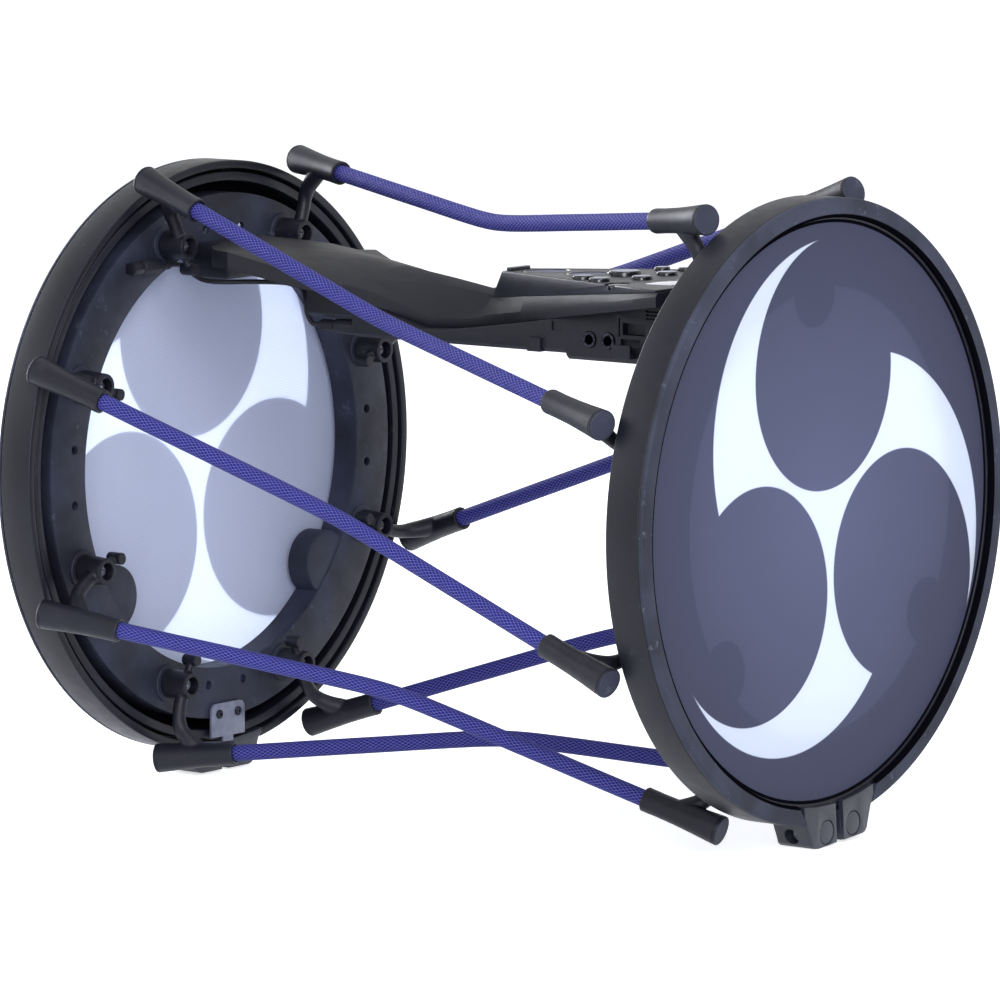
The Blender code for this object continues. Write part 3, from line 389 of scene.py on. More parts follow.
def braidedRope():
    # braided polyester cord: indigo strands with a pale tracer in the lattice
    material, tree, shader = newMaterial("braidedPolyesterCord")
    uv = addNode(tree, "ShaderNodeUVMap", uv_map="length").outputs["UV"]
    split = addNode(tree, "ShaderNodeSeparateXYZ", {"Vector": uv})
    turns = addNode(tree, "ShaderNodeMath", {0: split.outputs["X"], 1: float(ropeForm["strands"])},
                    operation="MULTIPLY").outputs[0]
    cells = addNode(tree, "ShaderNodeMath", {0: split.outputs["Y"], 1: 1 / ropeForm["cellLength"]},
                    operation="MULTIPLY").outputs[0]
    masks = []
    for operation in ("ADD", "SUBTRACT"):
        line = addNode(tree, "ShaderNodeMath", {0: turns, 1: cells}, operation=operation).outputs[0]
        saw = addNode(tree, "ShaderNodeMath", {0: line, 1: 1.0}, operation="FLOORED_MODULO").outputs[0]
        ridge = addNode(tree, "ShaderNodeMath", {0: saw, 1: 0.5}, operation="SUBTRACT").outputs[0]
        size = addNode(tree, "ShaderNodeMath", {0: ridge}, operation="ABSOLUTE").outputs[0]
        masks.append(addNode(tree, "ShaderNodeMapRange", {"Value": size, "From Min": 0.02,
                                                          "From Max": 0.09}).outputs["Result"])
    cell = addNode(tree, "ShaderNodeMath", {0: masks[0], 1: masks[1]}, operation="MULTIPLY").outputs[0]
    place = addNode(tree, "ShaderNodeTexCoord").outputs["Object"]
    drift = addNode(tree, "ShaderNodeTexNoise", {"Vector": place, "Scale": 1 / 0.008, "Detail": 4.0})
    deep = addNode(tree, "ShaderNodeMix", {"Factor": drift.outputs["Fac"], "A": toLinear("#13115a"),
                                           "B": toLinear("#1e1c72")}, data_type="RGBA").outputs[2]
    tone = addNode(tree, "ShaderNodeMix", {"Factor": cell, "A": toLinear("#7375b8"), "B": deep},
                   data_type="RGBA").outputs[2]
    tree.links.new(tone, shader.inputs["Base Color"])
    relief = addNode(tree, "ShaderNodeBump", {"Height": cell, "Strength": 0.6, "Distance": 0.0005})
    tree.links.new(relief.outputs["Normal"], shader.inputs["Normal"])
    shader.inputs["Roughness"].default_value = 0.70
    shader.inputs["Specular IOR Level"].default_value = 0.25
    return material


ropeCord = braidedRope()


def ropeRoute():
    # the same points as the part's route, for a hook at the top of the left pad
    mirror = Matrix.Rotation(math.pi, 3, "Z")
    step = 2 * math.pi / drum["hooksPerPad"]
    shift = Matrix.Rotation(step + drum["rightTurn"], 3, "X")
    start = hookForm["barMouth"]
    finish = shift @ (mirror @ hookForm["barMouth"])
    middle = (start + finish) / 2
    inwards = Vector((0.0, -middle.y, -middle.z)).normalized()
    shares = ropeForm["bow"] + [(1 - share, bow) for share, bow in reversed(ropeForm["bow"][:-1])]
    points = [start.lerp(finish, share) + inwards * bow for share, bow in shares]
    points.insert(0, start - barWay * ropeForm["inMouth"])
    points.append(finish - (shift @ (mirror @ barWay)) * ropeForm["inMouth"])
    return points


def smoothLine(points, stepLength):
    # one smooth curve through the points, sampled evenly
    ends = [points[0] * 2 - points[1], *points, points[-1] * 2 - points[-2]]
    dense = []
    for index in range(1, len(ends) - 2):
        before, first, last, after = ends[index - 1:index + 3]
        for part in range(12):
            t = part / 12
            dense.append(0.5 * (2 * first + (last - before) * t
                                + (2 * before - 5 * first + 4 * last - after) * t ** 2
                                + (3 * first - before - 3 * last + after) * t ** 3))
    dense.append(points[-1])
    total = sum((b - a).length for a, b in zip(dense, dense[1:]))
    count = max(4, round(total / stepLength))
    even, walked, index = [dense[0].copy()], 0.0, 0
    for number in range(1, count):
        target = total * number / count
        while walked + (dense[index + 1] - dense[index]).length < target:
            walked += (dense[index + 1] - dense[index]).length
            index += 1
        piece = dense[index + 1] - dense[index]
        even.append(dense[index] + piece * ((target - walked) / piece.length))
    even.append(dense[-1].copy())
    return even, total


def tubeMesh(name, line, radius, sides):
    # closed tube with its length in metres along the second UV axis
    work = bmesh.new()
    uvLayer = work.loops.layers.uv.new("length")
    rings, marks, walked = [], [], 0.0
    side = Vector((0, 0, 1))
    for index, spot in enumerate(line):
        ahead = line[min(index + 1, len(line) - 1)] - line[max(index - 1, 0)]
        ahead.normalize()
        side = (side - ahead * side.dot(ahead)).normalized()
        other = ahead.cross(side)
        rings.append([work.verts.new(spot + radius * (side * math.cos(2 * math.pi * k / sides)
                                                      + other * math.sin(2 * math.pi * k / sides)))
                      for k in range(sides)])
        walked += (spot - line[index - 1]).length if index else 0.0
        marks.append(walked)
    for index in range(len(rings) - 1):
        for k in range(sides):
            nextK = (k + 1) % sides
            face = work.faces.new((rings[index][k], rings[index][nextK], rings[index + 1][nextK],
                                   rings[index + 1][k]))
            face.smooth = True
            corners = [(k, index), (k + 1, index), (k + 1, index + 1), (k, index + 1)]
            for loop, (around, down) in zip(face.loops, corners):
                loop[uvLayer].uv = (around / sides, marks[down])
    work.faces.new(list(reversed(rings[0])))
    work.faces.new(rings[-1])
    bmesh.ops.recalc_face_normals(work, faces=work.faces)
    mesh = bpy.data.meshes.new(name)
    work.to_mesh(mesh)
    work.free()
    return mesh


def place(name, mesh, *finishes):
    # a finished piece at the origin that moves with the base
    piece = bpy.data.objects.new(name, mesh)
    bpy.context.scene.collection.objects.link(piece)
    for finish in finishes:
        mesh.materials.append(finish)
    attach(piece, "base")
    return piece


route = ropeRoute()
hookStep = 2 * math.pi / drum["hooksPerPad"]
for number in range(drum["hooksPerPad"]):
    turned = Matrix.Rotation(-hookStep * (number + 0.5), 3, "X")
    points = [turned @ spot + upAxis for spot in route]
    line, length = smoothLine(points, ropeForm["stepMm"] / 1000)
    rope = place(f"rope{number + 1}", tubeMesh(f"rope{number + 1}", line, ropeForm["radius"],
                                               ropeForm["sides"]), ropeCord)
    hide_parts(f"rope_{number + 1}")
print("ropes laid:", drum["hooksPerPad"])

patchCable = {
    "radius": 0.0016,
    "sides": 20,
    "stepMm": 1.5,
    # the part's own route: out of the chassis plug, up under the cover, to the plug on the flange
    "points": [(-0.1230, -0.0290, 0.0950), (-0.1285, -0.0290, 0.0953), (-0.1328, -0.0290, 0.1010),
               (-0.1350, -0.0280, 0.1086), (-0.1400, -0.0245, 0.1155), (-0.1520, -0.0210, 0.1185),
               (-0.1680, -0.0210, 0.1188), (-0.1850, -0.0270, 0.1185), (-0.2000, -0.0365, 0.1182),
               (-0.2130, -0.0388, 0.1195), (-0.2195, -0.0422, 0.1250), (-0.2211, -0.0490, 0.1288),
               (-0.2211, -0.0547, 0.1297), (-0.2211, -0.0597, 0.1297)],
}


# Small tools for modelling by hand
def applyAll(piece):
    bpy.context.view_layer.objects.active = piece
    for modifier in list(piece.modifiers):
        bpy.ops.object.modifier_apply(modifier=modifier.name)


def onlySelect(*pieces):
    bpy.ops.object.select_all(action="DESELECT")
    for piece in pieces:
        piece.select_set(True)
    bpy.context.view_layer.objects.active = pieces[-1]


def bakePlace(piece):
    # puts the piece's place into its mesh, so that its object sits at the origin
    onlySelect(piece)
    bpy.ops.object.transform_apply(location=True, rotation=True, scale=True)


def pickFaces(piece, test):
    # selects the faces whose centre and normal pass the test, in edit mode
    bpy.ops.mesh.select_mode(type="FACE")
    bpy.ops.mesh.select_all(action="DESELECT")
    work = bmesh.from_edit_mesh(piece.data)
    for face in work.faces:
        face.select = bool(test(face.calc_center_median(), face.normal))
    bmesh.update_edit_mesh(piece.data)


def cylinderAt(name, centre, radius, depth, way=(1, 0, 0), sides=32):
    onLine = Vector(way).to_track_quat("Z", "Y").to_euler()
    bpy.ops.mesh.primitive_cylinder_add(vertices=sides, radius=radius, depth=depth,
                                        location=centre, rotation=onLine)
    piece = bpy.context.object
    piece.name = name
    bakePlace(piece)
    return piece


def carve(piece, tools):
    # cuts the tools out of the piece and takes them away
    for tool in tools:
        change = piece.modifiers.new("carve", "BOOLEAN")
        change.operation = "DIFFERENCE"
        change.solver = "EXACT"
        change.object = tool
    onlySelect(piece)
    applyAll(piece)
    for tool in tools:
        bpy.data.objects.remove(tool, do_unlink=True)


def smoothCopy(nodeName, material, body="base", edge=0.0, angle=32, levels=0):
    # a shown copy of a CAD piece, merged, with softened edges
    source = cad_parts[nodeName]
    mesh = source.data.copy()
    piece = bpy.data.objects.new(nodeName + "Shown", mesh)
    bpy.context.scene.collection.objects.link(piece)
    onlySelect(piece)
    bpy.ops.object.mode_set(mode="EDIT")
    bpy.ops.mesh.customdata_custom_splitnormals_clear()
    bpy.ops.mesh.select_all(action="SELECT")
    bpy.ops.mesh.remove_doubles(threshold=0.00001)
    bpy.ops.mesh.tris_convert_to_quads()
    bpy.ops.object.mode_set(mode="OBJECT")
    if edge:
        soften = piece.modifiers.new("soften", "BEVEL")
        soften.width = edge
        soften.segments = 2
        soften.limit_method = "ANGLE"
        soften.angle_limit = math.radians(angle)
        soften.harden_normals = False
        applyAll(piece)
    onlySelect(piece)
    bpy.ops.object.shade_smooth_by_angle(angle=math.radians(angle))
    mesh.materials.clear()
    mesh.materials.append(material)
    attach(piece, body)
    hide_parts(nodeName)
    return piece


# Hooks: one moulding, built at the top of the left pad and copied round
def hookModel():
    outer, mouth = hookForm["barOuterEnd"], hookForm["barMouth"]
    bar = cylinderAt("hookBar", (outer + mouth) / 2, hookForm["endRadius"], (mouth - outer).length,
                     barWay, 40)
    onlySelect(bar)
    bpy.ops.object.mode_set(mode="EDIT")
    pickFaces(bar, lambda centre, normal: normal.dot(barWay) > 0.99)
    shrink = hookForm["mouthRadius"] / hookForm["endRadius"]
    bpy.ops.transform.resize(value=(shrink, shrink, shrink), center_override=tuple(mouth))
    pickFaces(bar, lambda centre, normal: normal.dot(barWay) < -0.99)
    bpy.ops.mesh.bevel(offset=0.0007, segments=2, affect="EDGES")
    for share, scale in hookForm["waist"]:
        # a loop across the bar, drawn in towards its axis
        spot = tuple(outer.lerp(mouth, share))
        bpy.ops.mesh.select_all(action="SELECT")
        bpy.ops.mesh.bisect(plane_co=spot, plane_no=tuple(barWay))
        bpy.ops.transform.resize(value=(scale, scale, scale), center_override=spot)
    bpy.ops.object.mode_set(mode="OBJECT")

    top = hookForm["bossTop"]
    base = hookForm["bossBase"]
    boss = cylinderAt("hookBoss", ((top + base) / 2, 0, hookForm["bossCircle"]),
                      hookForm["bossRadius"], top - base, (1, 0, 0), 36)
    onlySelect(boss)
    bpy.ops.object.mode_set(mode="EDIT")
    pickFaces(boss, lambda centre, normal: normal.x < -0.99)
    flareOut = hookForm["bossRoot"] / hookForm["bossRadius"]
    bpy.ops.transform.resize(value=(flareOut, flareOut, flareOut),
                             center_override=(base, 0, hookForm["bossCircle"]))
    bpy.ops.object.mode_set(mode="OBJECT")
    parts = [bar, boss]
    reach = hookForm["bossCircle"]
    middle = outer.lerp(mouth, 0.56)
    bendPoints = [Vector((top - 0.0068, 0.0, reach)), Vector((top - 0.0066, -0.0010, reach + 0.0160)),
                  Vector((top - 0.0050, -0.0040, reach + 0.0270)),
                  Vector((top + 0.0020, -0.0085, reach + 0.0350)),
                  Vector((top + 0.0090, -0.0130, reach + 0.0395)), middle]
    swell = [1.05, 1.0, 1.02, 1.12, 1.3, 1.35]
    bendLine, _ = smoothLine(bendPoints, 0.0020)
    for index in range(len(bendLine) - 1):
        # the arm is a chain of short overlapping studs that the remesh below runs together
        share = index / (len(bendLine) - 2) * (len(swell) - 1)
        low = min(int(share), len(swell) - 2)
        size = swell[low] + (swell[low + 1] - swell[low]) * (share - low)
        spot = (bendLine[index] + bendLine[index + 1]) / 2
        bpy.ops.mesh.primitive_uv_sphere_add(segments=16, ring_count=10, location=spot,
                                             radius=hookForm["armRadius"] * size * 1.04)
        parts.append(bpy.context.object)
    stalkX = top - 0.0062
    stalkEnd = reach - hookForm["bossRadius"] - 0.0085
    parts.append(cylinderAt("stalk", (stalkX, 0, (reach + stalkEnd) / 2), 0.0029,
                            reach - stalkEnd, (0, 0, 1), 16))
    parts.append(cylinderAt("peg", (stalkX, 0, stalkEnd), 0.0039, 0.0110, (1, 0, 0), 20))
    onlySelect(*parts[1:], bar)
    bpy.ops.object.join()
    hook = bpy.context.object
    hook.name = "hookModel"
    blend = hook.modifiers.new("runTogether", "REMESH")
    blend.mode = "VOXEL"
    blend.voxel_size = hookForm["voxel"]
    ease = hook.modifiers.new("ease", "SMOOTH")
    ease.factor = 0.5
    ease.iterations = 4
    applyAll(hook)
    tools = [
        cylinderAt("bore", mouth - barWay * (hookForm["boreDepth"] / 2 - 0.002),
                   hookForm["boreRadius"], hookForm["boreDepth"] + 0.004, barWay, 32),
        cylinderAt("socket", (top - hookForm["socketDepth"] / 2 + 0.001, 0, reach),
                   hookForm["socketRadius"], hookForm["socketDepth"] + 0.002, (1, 0, 0), 28),
    ]
    bpy.ops.mesh.primitive_torus_add(location=outer + barWay * hookForm["capGroove"],
                                     rotation=barWay.to_track_quat("Z", "Y").to_euler(),
                                     major_segments=64, minor_segments=8,
                                     major_radius=hookForm["endRadius"] - 0.0002,
                                     minor_radius=0.0004)
    tools.append(bpy.context.object)
    carve(hook, tools)
    onlySelect(hook)
    bpy.ops.object.shade_smooth_by_angle(angle=math.radians(40))
    # the flat of the cap is rubbed grey where the drum is set down on it
    hook.data.materials.clear()
    for face in hook.data.polygons:
        onCap = (face.center - outer).dot(barWay) < 0.0006 and face.normal.dot(barWay) < -0.9
        face.material_index = int(onCap)
    return hook


hookPattern = hookModel()
padPlaces = {
    "left": Matrix.Translation(upAxis),
    "right": Matrix.Translation(upAxis) @ Matrix.Rotation(drum["rightTurn"], 4, "X")
    @ Matrix.Rotation(math.pi, 4, "Z"),
}


def screwModel():
    # socket-head screw seen at the bottom of each boss
    centre = Vector((hookForm["bossTop"] - hookForm["screwSink"] - 0.0015, 0,
                     hookForm["bossCircle"]))
    screw = cylinderAt("screwModel", centre, 0.0036, 0.0030, (1, 0, 0), 28)
    onlySelect(screw)
    bpy.ops.object.mode_set(mode="EDIT")
    pickFaces(screw, lambda middle, normal: normal.x > 0.99)
    bpy.ops.mesh.bevel(offset=0.0005, segments=2, affect="EDGES")
    pickFaces(screw, lambda middle, normal: normal.x > 0.99)
    bpy.ops.mesh.inset(thickness=0.0014)
    bpy.ops.mesh.extrude_region_move(TRANSFORM_OT_translate={"value": (-0.0014, 0, 0)})
    bpy.ops.object.mode_set(mode="OBJECT")
    bpy.ops.object.shade_smooth_by_angle(angle=math.radians(35))
    return screw


screwPattern = screwModel()
screwSteel = platedSteel("zincPlatedScrewSteel", "#6c6e76", "#b4b6be")
jackSteel = platedSteel("blackNickelJackCollar", "#1e1f26", "#3f414a")
for side, pad in padPlaces.items():
    screws = []
    for number in range(drum["hooksPerPad"]):
        turned = pad @ Matrix.Rotation(-hookStep * (number + 0.5), 4, "X")
        mesh = hookPattern.data.copy()
        mesh.transform(turned)
        hook = place(f"{side}Hook{number + 1}", mesh, nylonBlack, rubbedNylon)
        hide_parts(f"{side}_hook_{number + 1}")
        screwMesh = screwPattern.data.copy()
        screwMesh.transform(turned)
        screws.append(place(f"{side}Screw{number + 1}", screwMesh, screwSteel))
    onlySelect(*screws)
    bpy.ops.object.join()
    bpy.context.object.name = f"{side}BossScrews"
for pattern in (hookPattern, screwPattern):
    bpy.data.objects.remove(pattern, do_unlink=True)
print("hooks placed:", 2 * drum["hooksPerPad"])


# The pads' own pieces, modelled finer than the frame's and copied to both pads
padForm = {
    "hoopRadius": 0.1930,
    "hoopWall": 0.0054,
    "hoopSpan": (-0.2502, -0.2263),      # front and back of the band, in the left pad's place
    "rimSpan": (-0.2535, -0.2505),
    "rimInner": 0.1805,
    "skinSpan": (-0.2486, -0.2478),
    "skinRadius": 0.1800,
    "fleshSpan": (-0.2497, -0.2280),
    "fleshRadius": 0.1854,
    "fleshInner": 0.1795,
    "frameRadius": 0.1720,
    "flangeInner": 0.1385,
    "wall": 0.0030,
    "flangeBack": -0.2293,
    "bearingEdge": -0.2475,
    "innerWallEnd": -0.2453,
    "collarRadius": 0.0125,
    "collarTop": -0.2241,
    "lobeSpan": (-0.2441, -0.2272),
    "holeCircle": 0.1500,
    "holeRadius": 0.0030,
    "holeSpread": 6.8,
    "castingHalf": 0.0370,
    "sides": 192,
}


def ringAt(name, span, outer, inner):
    # a band about the pad's axis: a disc with both ends inset and bridged through
    ring = cylinderAt(name, ((span[0] + span[1]) / 2, 0, 0), outer, span[1] - span[0], (1, 0, 0),
                      padForm["sides"])
    onlySelect(ring)
    bpy.ops.object.mode_set(mode="EDIT")
    pickFaces(ring, lambda centre, normal: abs(normal.x) > 0.99)
    bpy.ops.mesh.inset(thickness=outer - inner, use_individual=True)
    bpy.ops.mesh.bridge_edge_loops()
    bpy.ops.mesh.select_all(action="SELECT")
    bpy.ops.mesh.normals_make_consistent(inside=False)
    bpy.ops.object.mode_set(mode="OBJECT")
    return ring


def softenEnds(ring, width, test, segments=3):
    # rounds the rims of the faces that pass the test
    onlySelect(ring)
    bpy.ops.object.mode_set(mode="EDIT")
    pickFaces(ring, test)
    bpy.ops.mesh.select_mode(type="EDGE")
    bpy.ops.mesh.region_to_loop()
    bpy.ops.mesh.bevel(offset=width, segments=segments, affect="EDGES")
    bpy.ops.object.mode_set(mode="OBJECT")


def cubeAt(name, centre, size):
    bpy.ops.mesh.primitive_cube_add(size=1.0, location=centre)
    piece = bpy.context.object
    piece.name = name
    piece.scale = size
    bakePlace(piece)
    return piece


def joined(pieces, name, angle=32):
    onlySelect(*pieces)
    bpy.ops.object.join()
    piece = bpy.context.object
    piece.name = name
    bpy.ops.object.shade_smooth_by_angle(angle=math.radians(angle))
    return piece


def padSpot(radius, degrees, x):
    turn = math.radians(degrees)
    return (x, radius * math.sin(turn), radius * math.cos(turn))


def hoopModel():
    low, high = padForm["hoopSpan"]
    outer = padForm["hoopRadius"]
    band = ringAt("hoopBand", (low, high), outer, outer - padForm["hoopWall"])
    softenEnds(band, 0.0010, lambda centre, normal: abs(normal.x) > 0.99)
    half = padForm["castingHalf"] - 0.0004
    carve(band, [cubeAt("bandGap", ((low + high) / 2, 0, -outer), (0.05, 2 * half, 0.05))])
    return joined([band], "hoopModel")


def castingModel():
    # the clamp casting is the frame's own piece, cut free of its band and given softer edges
    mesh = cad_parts["left_hoop"].data.copy()
    mesh.transform(Matrix.Translation(-upAxis))
    casting = bpy.data.objects.new("casting", mesh)
    bpy.context.scene.collection.objects.link(casting)
    casting.data.materials.clear()
    onlySelect(casting)
    bpy.ops.object.mode_set(mode="EDIT")
    bpy.ops.mesh.customdata_custom_splitnormals_clear()
    bpy.ops.mesh.select_all(action="SELECT")
    bpy.ops.mesh.remove_doubles(threshold=0.00001)
    bpy.ops.mesh.tris_convert_to_quads()
    for spot, way in (((0, 1, 0), padForm["castingHalf"]), ((0, -1, 0), padForm["castingHalf"])):
        bpy.ops.mesh.select_all(action="SELECT")
        bpy.ops.mesh.bisect(plane_co=tuple(Vector(spot) * way), plane_no=spot, clear_outer=True,
                            use_fill=True)
    bpy.ops.mesh.select_all(action="SELECT")
    bpy.ops.mesh.bisect(plane_co=(0, 0, -0.1650), plane_no=(0, 0, 1), clear_outer=True)
    bpy.ops.object.mode_set(mode="OBJECT")
    soften = casting.modifiers.new("soften", "BEVEL")
    soften.width = 0.0007
    soften.segments = 2
    soften.limit_method = "ANGLE"
    soften.angle_limit = math.radians(28)
    applyAll(casting)
    return joined([casting], "castingModel")


def rimModel():
    front, back = padForm["rimSpan"]
    outer, inner = padForm["hoopRadius"], padForm["rimInner"]
    rim = ringAt("rimBand", (front, back), outer, inner)
    softenEnds(rim, 0.0022, lambda centre, normal: normal.x < -0.99, 6)
    # the gap that the clamp casting fills, narrower towards the floor
    gapTool = cubeAt("rimGap", ((front + back) / 2, 0, -0.185), (0.02, 0.0916, 0.030))
    onlySelect(gapTool)
    bpy.ops.object.mode_set(mode="EDIT")
    pickFaces(gapTool, lambda centre, normal: normal.z < -0.99)
    bpy.ops.transform.resize(value=(1.0, 0.627, 1.0), center_override=(front, 0, -0.200))
    bpy.ops.object.mode_set(mode="OBJECT")
    carve(rim, [gapTool])
    return joined([rim], "rimModel")


def skinModel():
    span = padForm["skinSpan"]
    skin = cylinderAt("skin", ((span[0] + span[1]) / 2, 0, 0), padForm["skinRadius"],
                      span[1] - span[0], (1, 0, 0), padForm["sides"])
    return joined([skin], "skinModel", 25)


def fleshModel():
    flesh = ringAt("fleshRing", padForm["fleshSpan"], padForm["fleshRadius"], padForm["fleshInner"])
    softenEnds(flesh, 0.0009, lambda centre, normal: abs(normal.x) > 0.99)
    return joined([flesh], "fleshModel", 25)


def frameModel():
    face, back, wall = -drum["flangeFace"], padForm["flangeBack"], padForm["wall"]
    outer, inner = padForm["frameRadius"], padForm["flangeInner"]
    flange = ringAt("flange", (back, face), outer, inner)
    softenEnds(flange, 0.0008, lambda centre, normal: normal.x > 0.99, 2)
    carve(flange, [cylinderAt("hole", padSpot(padForm["holeCircle"], quarter * 90 + side
                                              * padForm["holeSpread"], face),
                              padForm["holeRadius"], 0.012, (1, 0, 0), 24)
                   for quarter in range(4) for side in (-1, 1)])
    pieces = [flange,
              ringAt("outerWall", (padForm["bearingEdge"], back), outer, outer - wall),
              ringAt("innerWall", (padForm["innerWallEnd"], back), inner + wall, inner)]
    for number in range(drum["hooksPerPad"]):
        spot = padSpot(hookForm["bossCircle"], (number + 0.5) * 45, (back + padForm["collarTop"]) / 2)
        collar = cylinderAt("collar", spot, padForm["collarRadius"], padForm["collarTop"] - back,
                            (1, 0, 0), 48)
        softenEnds(collar, 0.0007, lambda centre, normal: normal.x > 0.99)
        pieces.append(collar)
    low, high = padForm["lobeSpan"]
    for degrees in (0.0, 127.0, 233.0):
        lobe = cylinderAt("lobe", padSpot(headPrint["lobeCircle"], degrees, (low + high) / 2),
                          headPrint["lobeRadius"], high - low, (1, 0, 0), 72)
        softenEnds(lobe, 0.0012, lambda centre, normal: normal.x > 0.99)
        pieces.append(lobe)
    return joined(pieces, "frameModel")


tabPlastic = translucentTab()
padModels = [("hoop", hoopModel(), hoopPaint), ("casting", castingModel(), castingPaintLit),
             ("rim", rimModel(), rimFinish()),
             ("fleshRing", fleshModel(), nylonBlack), ("head", skinModel(), None),
             ("frame", frameModel(), dustyNylon)]
for side, pad in padPlaces.items():
    for kind, pattern, finish in padModels:
        mesh = pattern.data.copy()
        mesh.transform(pad)
        if kind == "head":
            finish = rightHeadMesh if side == "right" else leftHeadMesh
        shown = place(f"{side}{kind[0].upper()}{kind[1:]}Shown", mesh, finish)
        if kind not in ("casting", "fleshRing"):
            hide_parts(f"{side}_{kind}")
    smoothCopy(f"{side}_tab_plate", tabPlastic, edge=0.0004, angle=30)
    smoothCopy(f"{side}_clamp_bolt", screwSteel, angle=35)
for kind, pattern, finish in padModels:
    bpy.data.objects.remove(pattern, do_unlink=True)
print("pads modelled")

padTrim = {
    "tabScrewRadius": 0.0030,
    "tabScrewSpread": 0.0095,
    "tabScrewHeight": -0.1690,
    "tabFace": -0.2240,
    "dowelRadius": 0.0073,
    "dowelPlace": (0.0142, -0.1976),
    "dowelFace": -0.2524,
}


def buttonHead(name, centre, radius, height, facing, recess):
    # a round head with a softened edge and a shallow recess
    head = cylinderAt(name, Vector(centre) + Vector(facing) * (height / 2 - 0.0002), radius,
                      height + 0.0004, facing, 28)
    onlySelect(head)
    bpy.ops.object.mode_set(mode="EDIT")
    way = Vector(facing)
    pickFaces(head, lambda middle, normal: normal.dot(way) > 0.99)
    bpy.ops.mesh.bevel(offset=min(0.0007, height * 0.6), segments=3, affect="EDGES")
    if recess:
        pickFaces(head, lambda middle, normal: normal.dot(way) > 0.99)
        bpy.ops.mesh.inset(thickness=radius * 0.45)
        bpy.ops.mesh.extrude_region_move(TRANSFORM_OT_translate={"value": tuple(way * -recess)})
    bpy.ops.object.mode_set(mode="OBJECT")
    bpy.ops.object.shade_smooth_by_angle(angle=math.radians(35))
    return head


for side, pad in padPlaces.items():
    tabScrews = [buttonHead("tabScrew", (padTrim["tabFace"], y, padTrim["tabScrewHeight"]),
                            padTrim["tabScrewRadius"], 0.0014, (1, 0, 0), 0.0008)
                 for y in (-padTrim["tabScrewSpread"], padTrim["tabScrewSpread"])]
    dowels = [buttonHead("dowel", (padTrim["dowelFace"], y, padTrim["dowelPlace"][1]),
                         padTrim["dowelRadius"], 0.0007, (-1, 0, 0), 0.0)
              for y in (-padTrim["dowelPlace"][0], padTrim["dowelPlace"][0])]
    for kind, group, finish in (("TabScrews", tabScrews, jackSteel), ("Dowels", dowels, castingPaintLit)):
        onlySelect(*group)
        bpy.ops.object.join()
        made = bpy.context.object
        made.data.transform(pad)
        made.name = f"{side}{kind}"
        made.data.materials.clear()
        made.data.materials.append(finish)
        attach(made, "base")

# Arm and controls
smoothCopy("arm_cover", armPlastic, edge=0.0012, angle=24)
smoothCopy("arm_chassis", armPlastic, edge=0.0005, angle=30)
for name in ("left_bracket", "right_bracket"):
    smoothCopy(name, nylonBlack, edge=0.0030, angle=24)
smoothCopy("control_panel", panelPlastic, edge=0.0003, angle=30)
smoothCopy("display_window", displayWindow(), edge=0.0004, angle=30)
for name in ("jack_1", "jack_2"):
    smoothCopy(name, jackSteel, edge=0.0003, angle=30)
cordHook, chassisPlug, padPlug = [smoothCopy(name, plugRubber, edge=0.0002, angle=35)
                                  for name in ("cord_hook", "sensor_plug", "pad_plug")]
cableSpots = [Vector(spot) + upAxis for spot in patchCable["points"]]
cableLine, cableLength = smoothLine(cableSpots, patchCable["stepMm"] / 1000)
cable = place("patchCable", tubeMesh("patchCable", cableLine, patchCable["radius"],
                                     patchCable["sides"]), plugRubber)
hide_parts("sensor_cable")
smoothCopy("pad_socket", nylonBlack, edge=0.0003, angle=30)

panelForm = {
    "start": 0.0110,
    "height": 0.1356,
    "slope": 0.0187,
    # name: place along, place across, radius, height over the panel, depth, kind
    "keys": {
        "round_button_1": (0.0372, 0.0, 0.0155, 0.0002, 0.0017, "flush"),
        "round_button_2": (0.0730, -0.0040, 0.0145, 0.0002, 0.0017, "flush"),
        "volume_knob": (0.1000, -0.0030, 0.0100, 0.0030, 0.0017, "knob"),
        "button_1": (0.0930, -0.0370, 0.0065, 0.0023, 0.0017, "key"),
        "button_2": (0.1130, -0.0470, 0.0065, 0.0023, 0.0017, "key"),
        "button_3": (0.1280, -0.0230, 0.0065, 0.0023, 0.0017, "key"),
        "button_4": (0.1230, 0.0100, 0.0065, 0.0023, 0.0017, "key"),
        "button_5": (0.0990, 0.0380, 0.0050, 0.0023, 0.0017, "key"),
        "button_6": (0.1150, 0.0410, 0.0050, 0.0023, 0.0017, "key"),
        "recessed_button": (0.1350, -0.0570, 0.0062, -0.0004, 0.0023, "dark"),
    },
}
panelUp = Vector((-panelForm["slope"], 0.0, 1.0)).normalized()


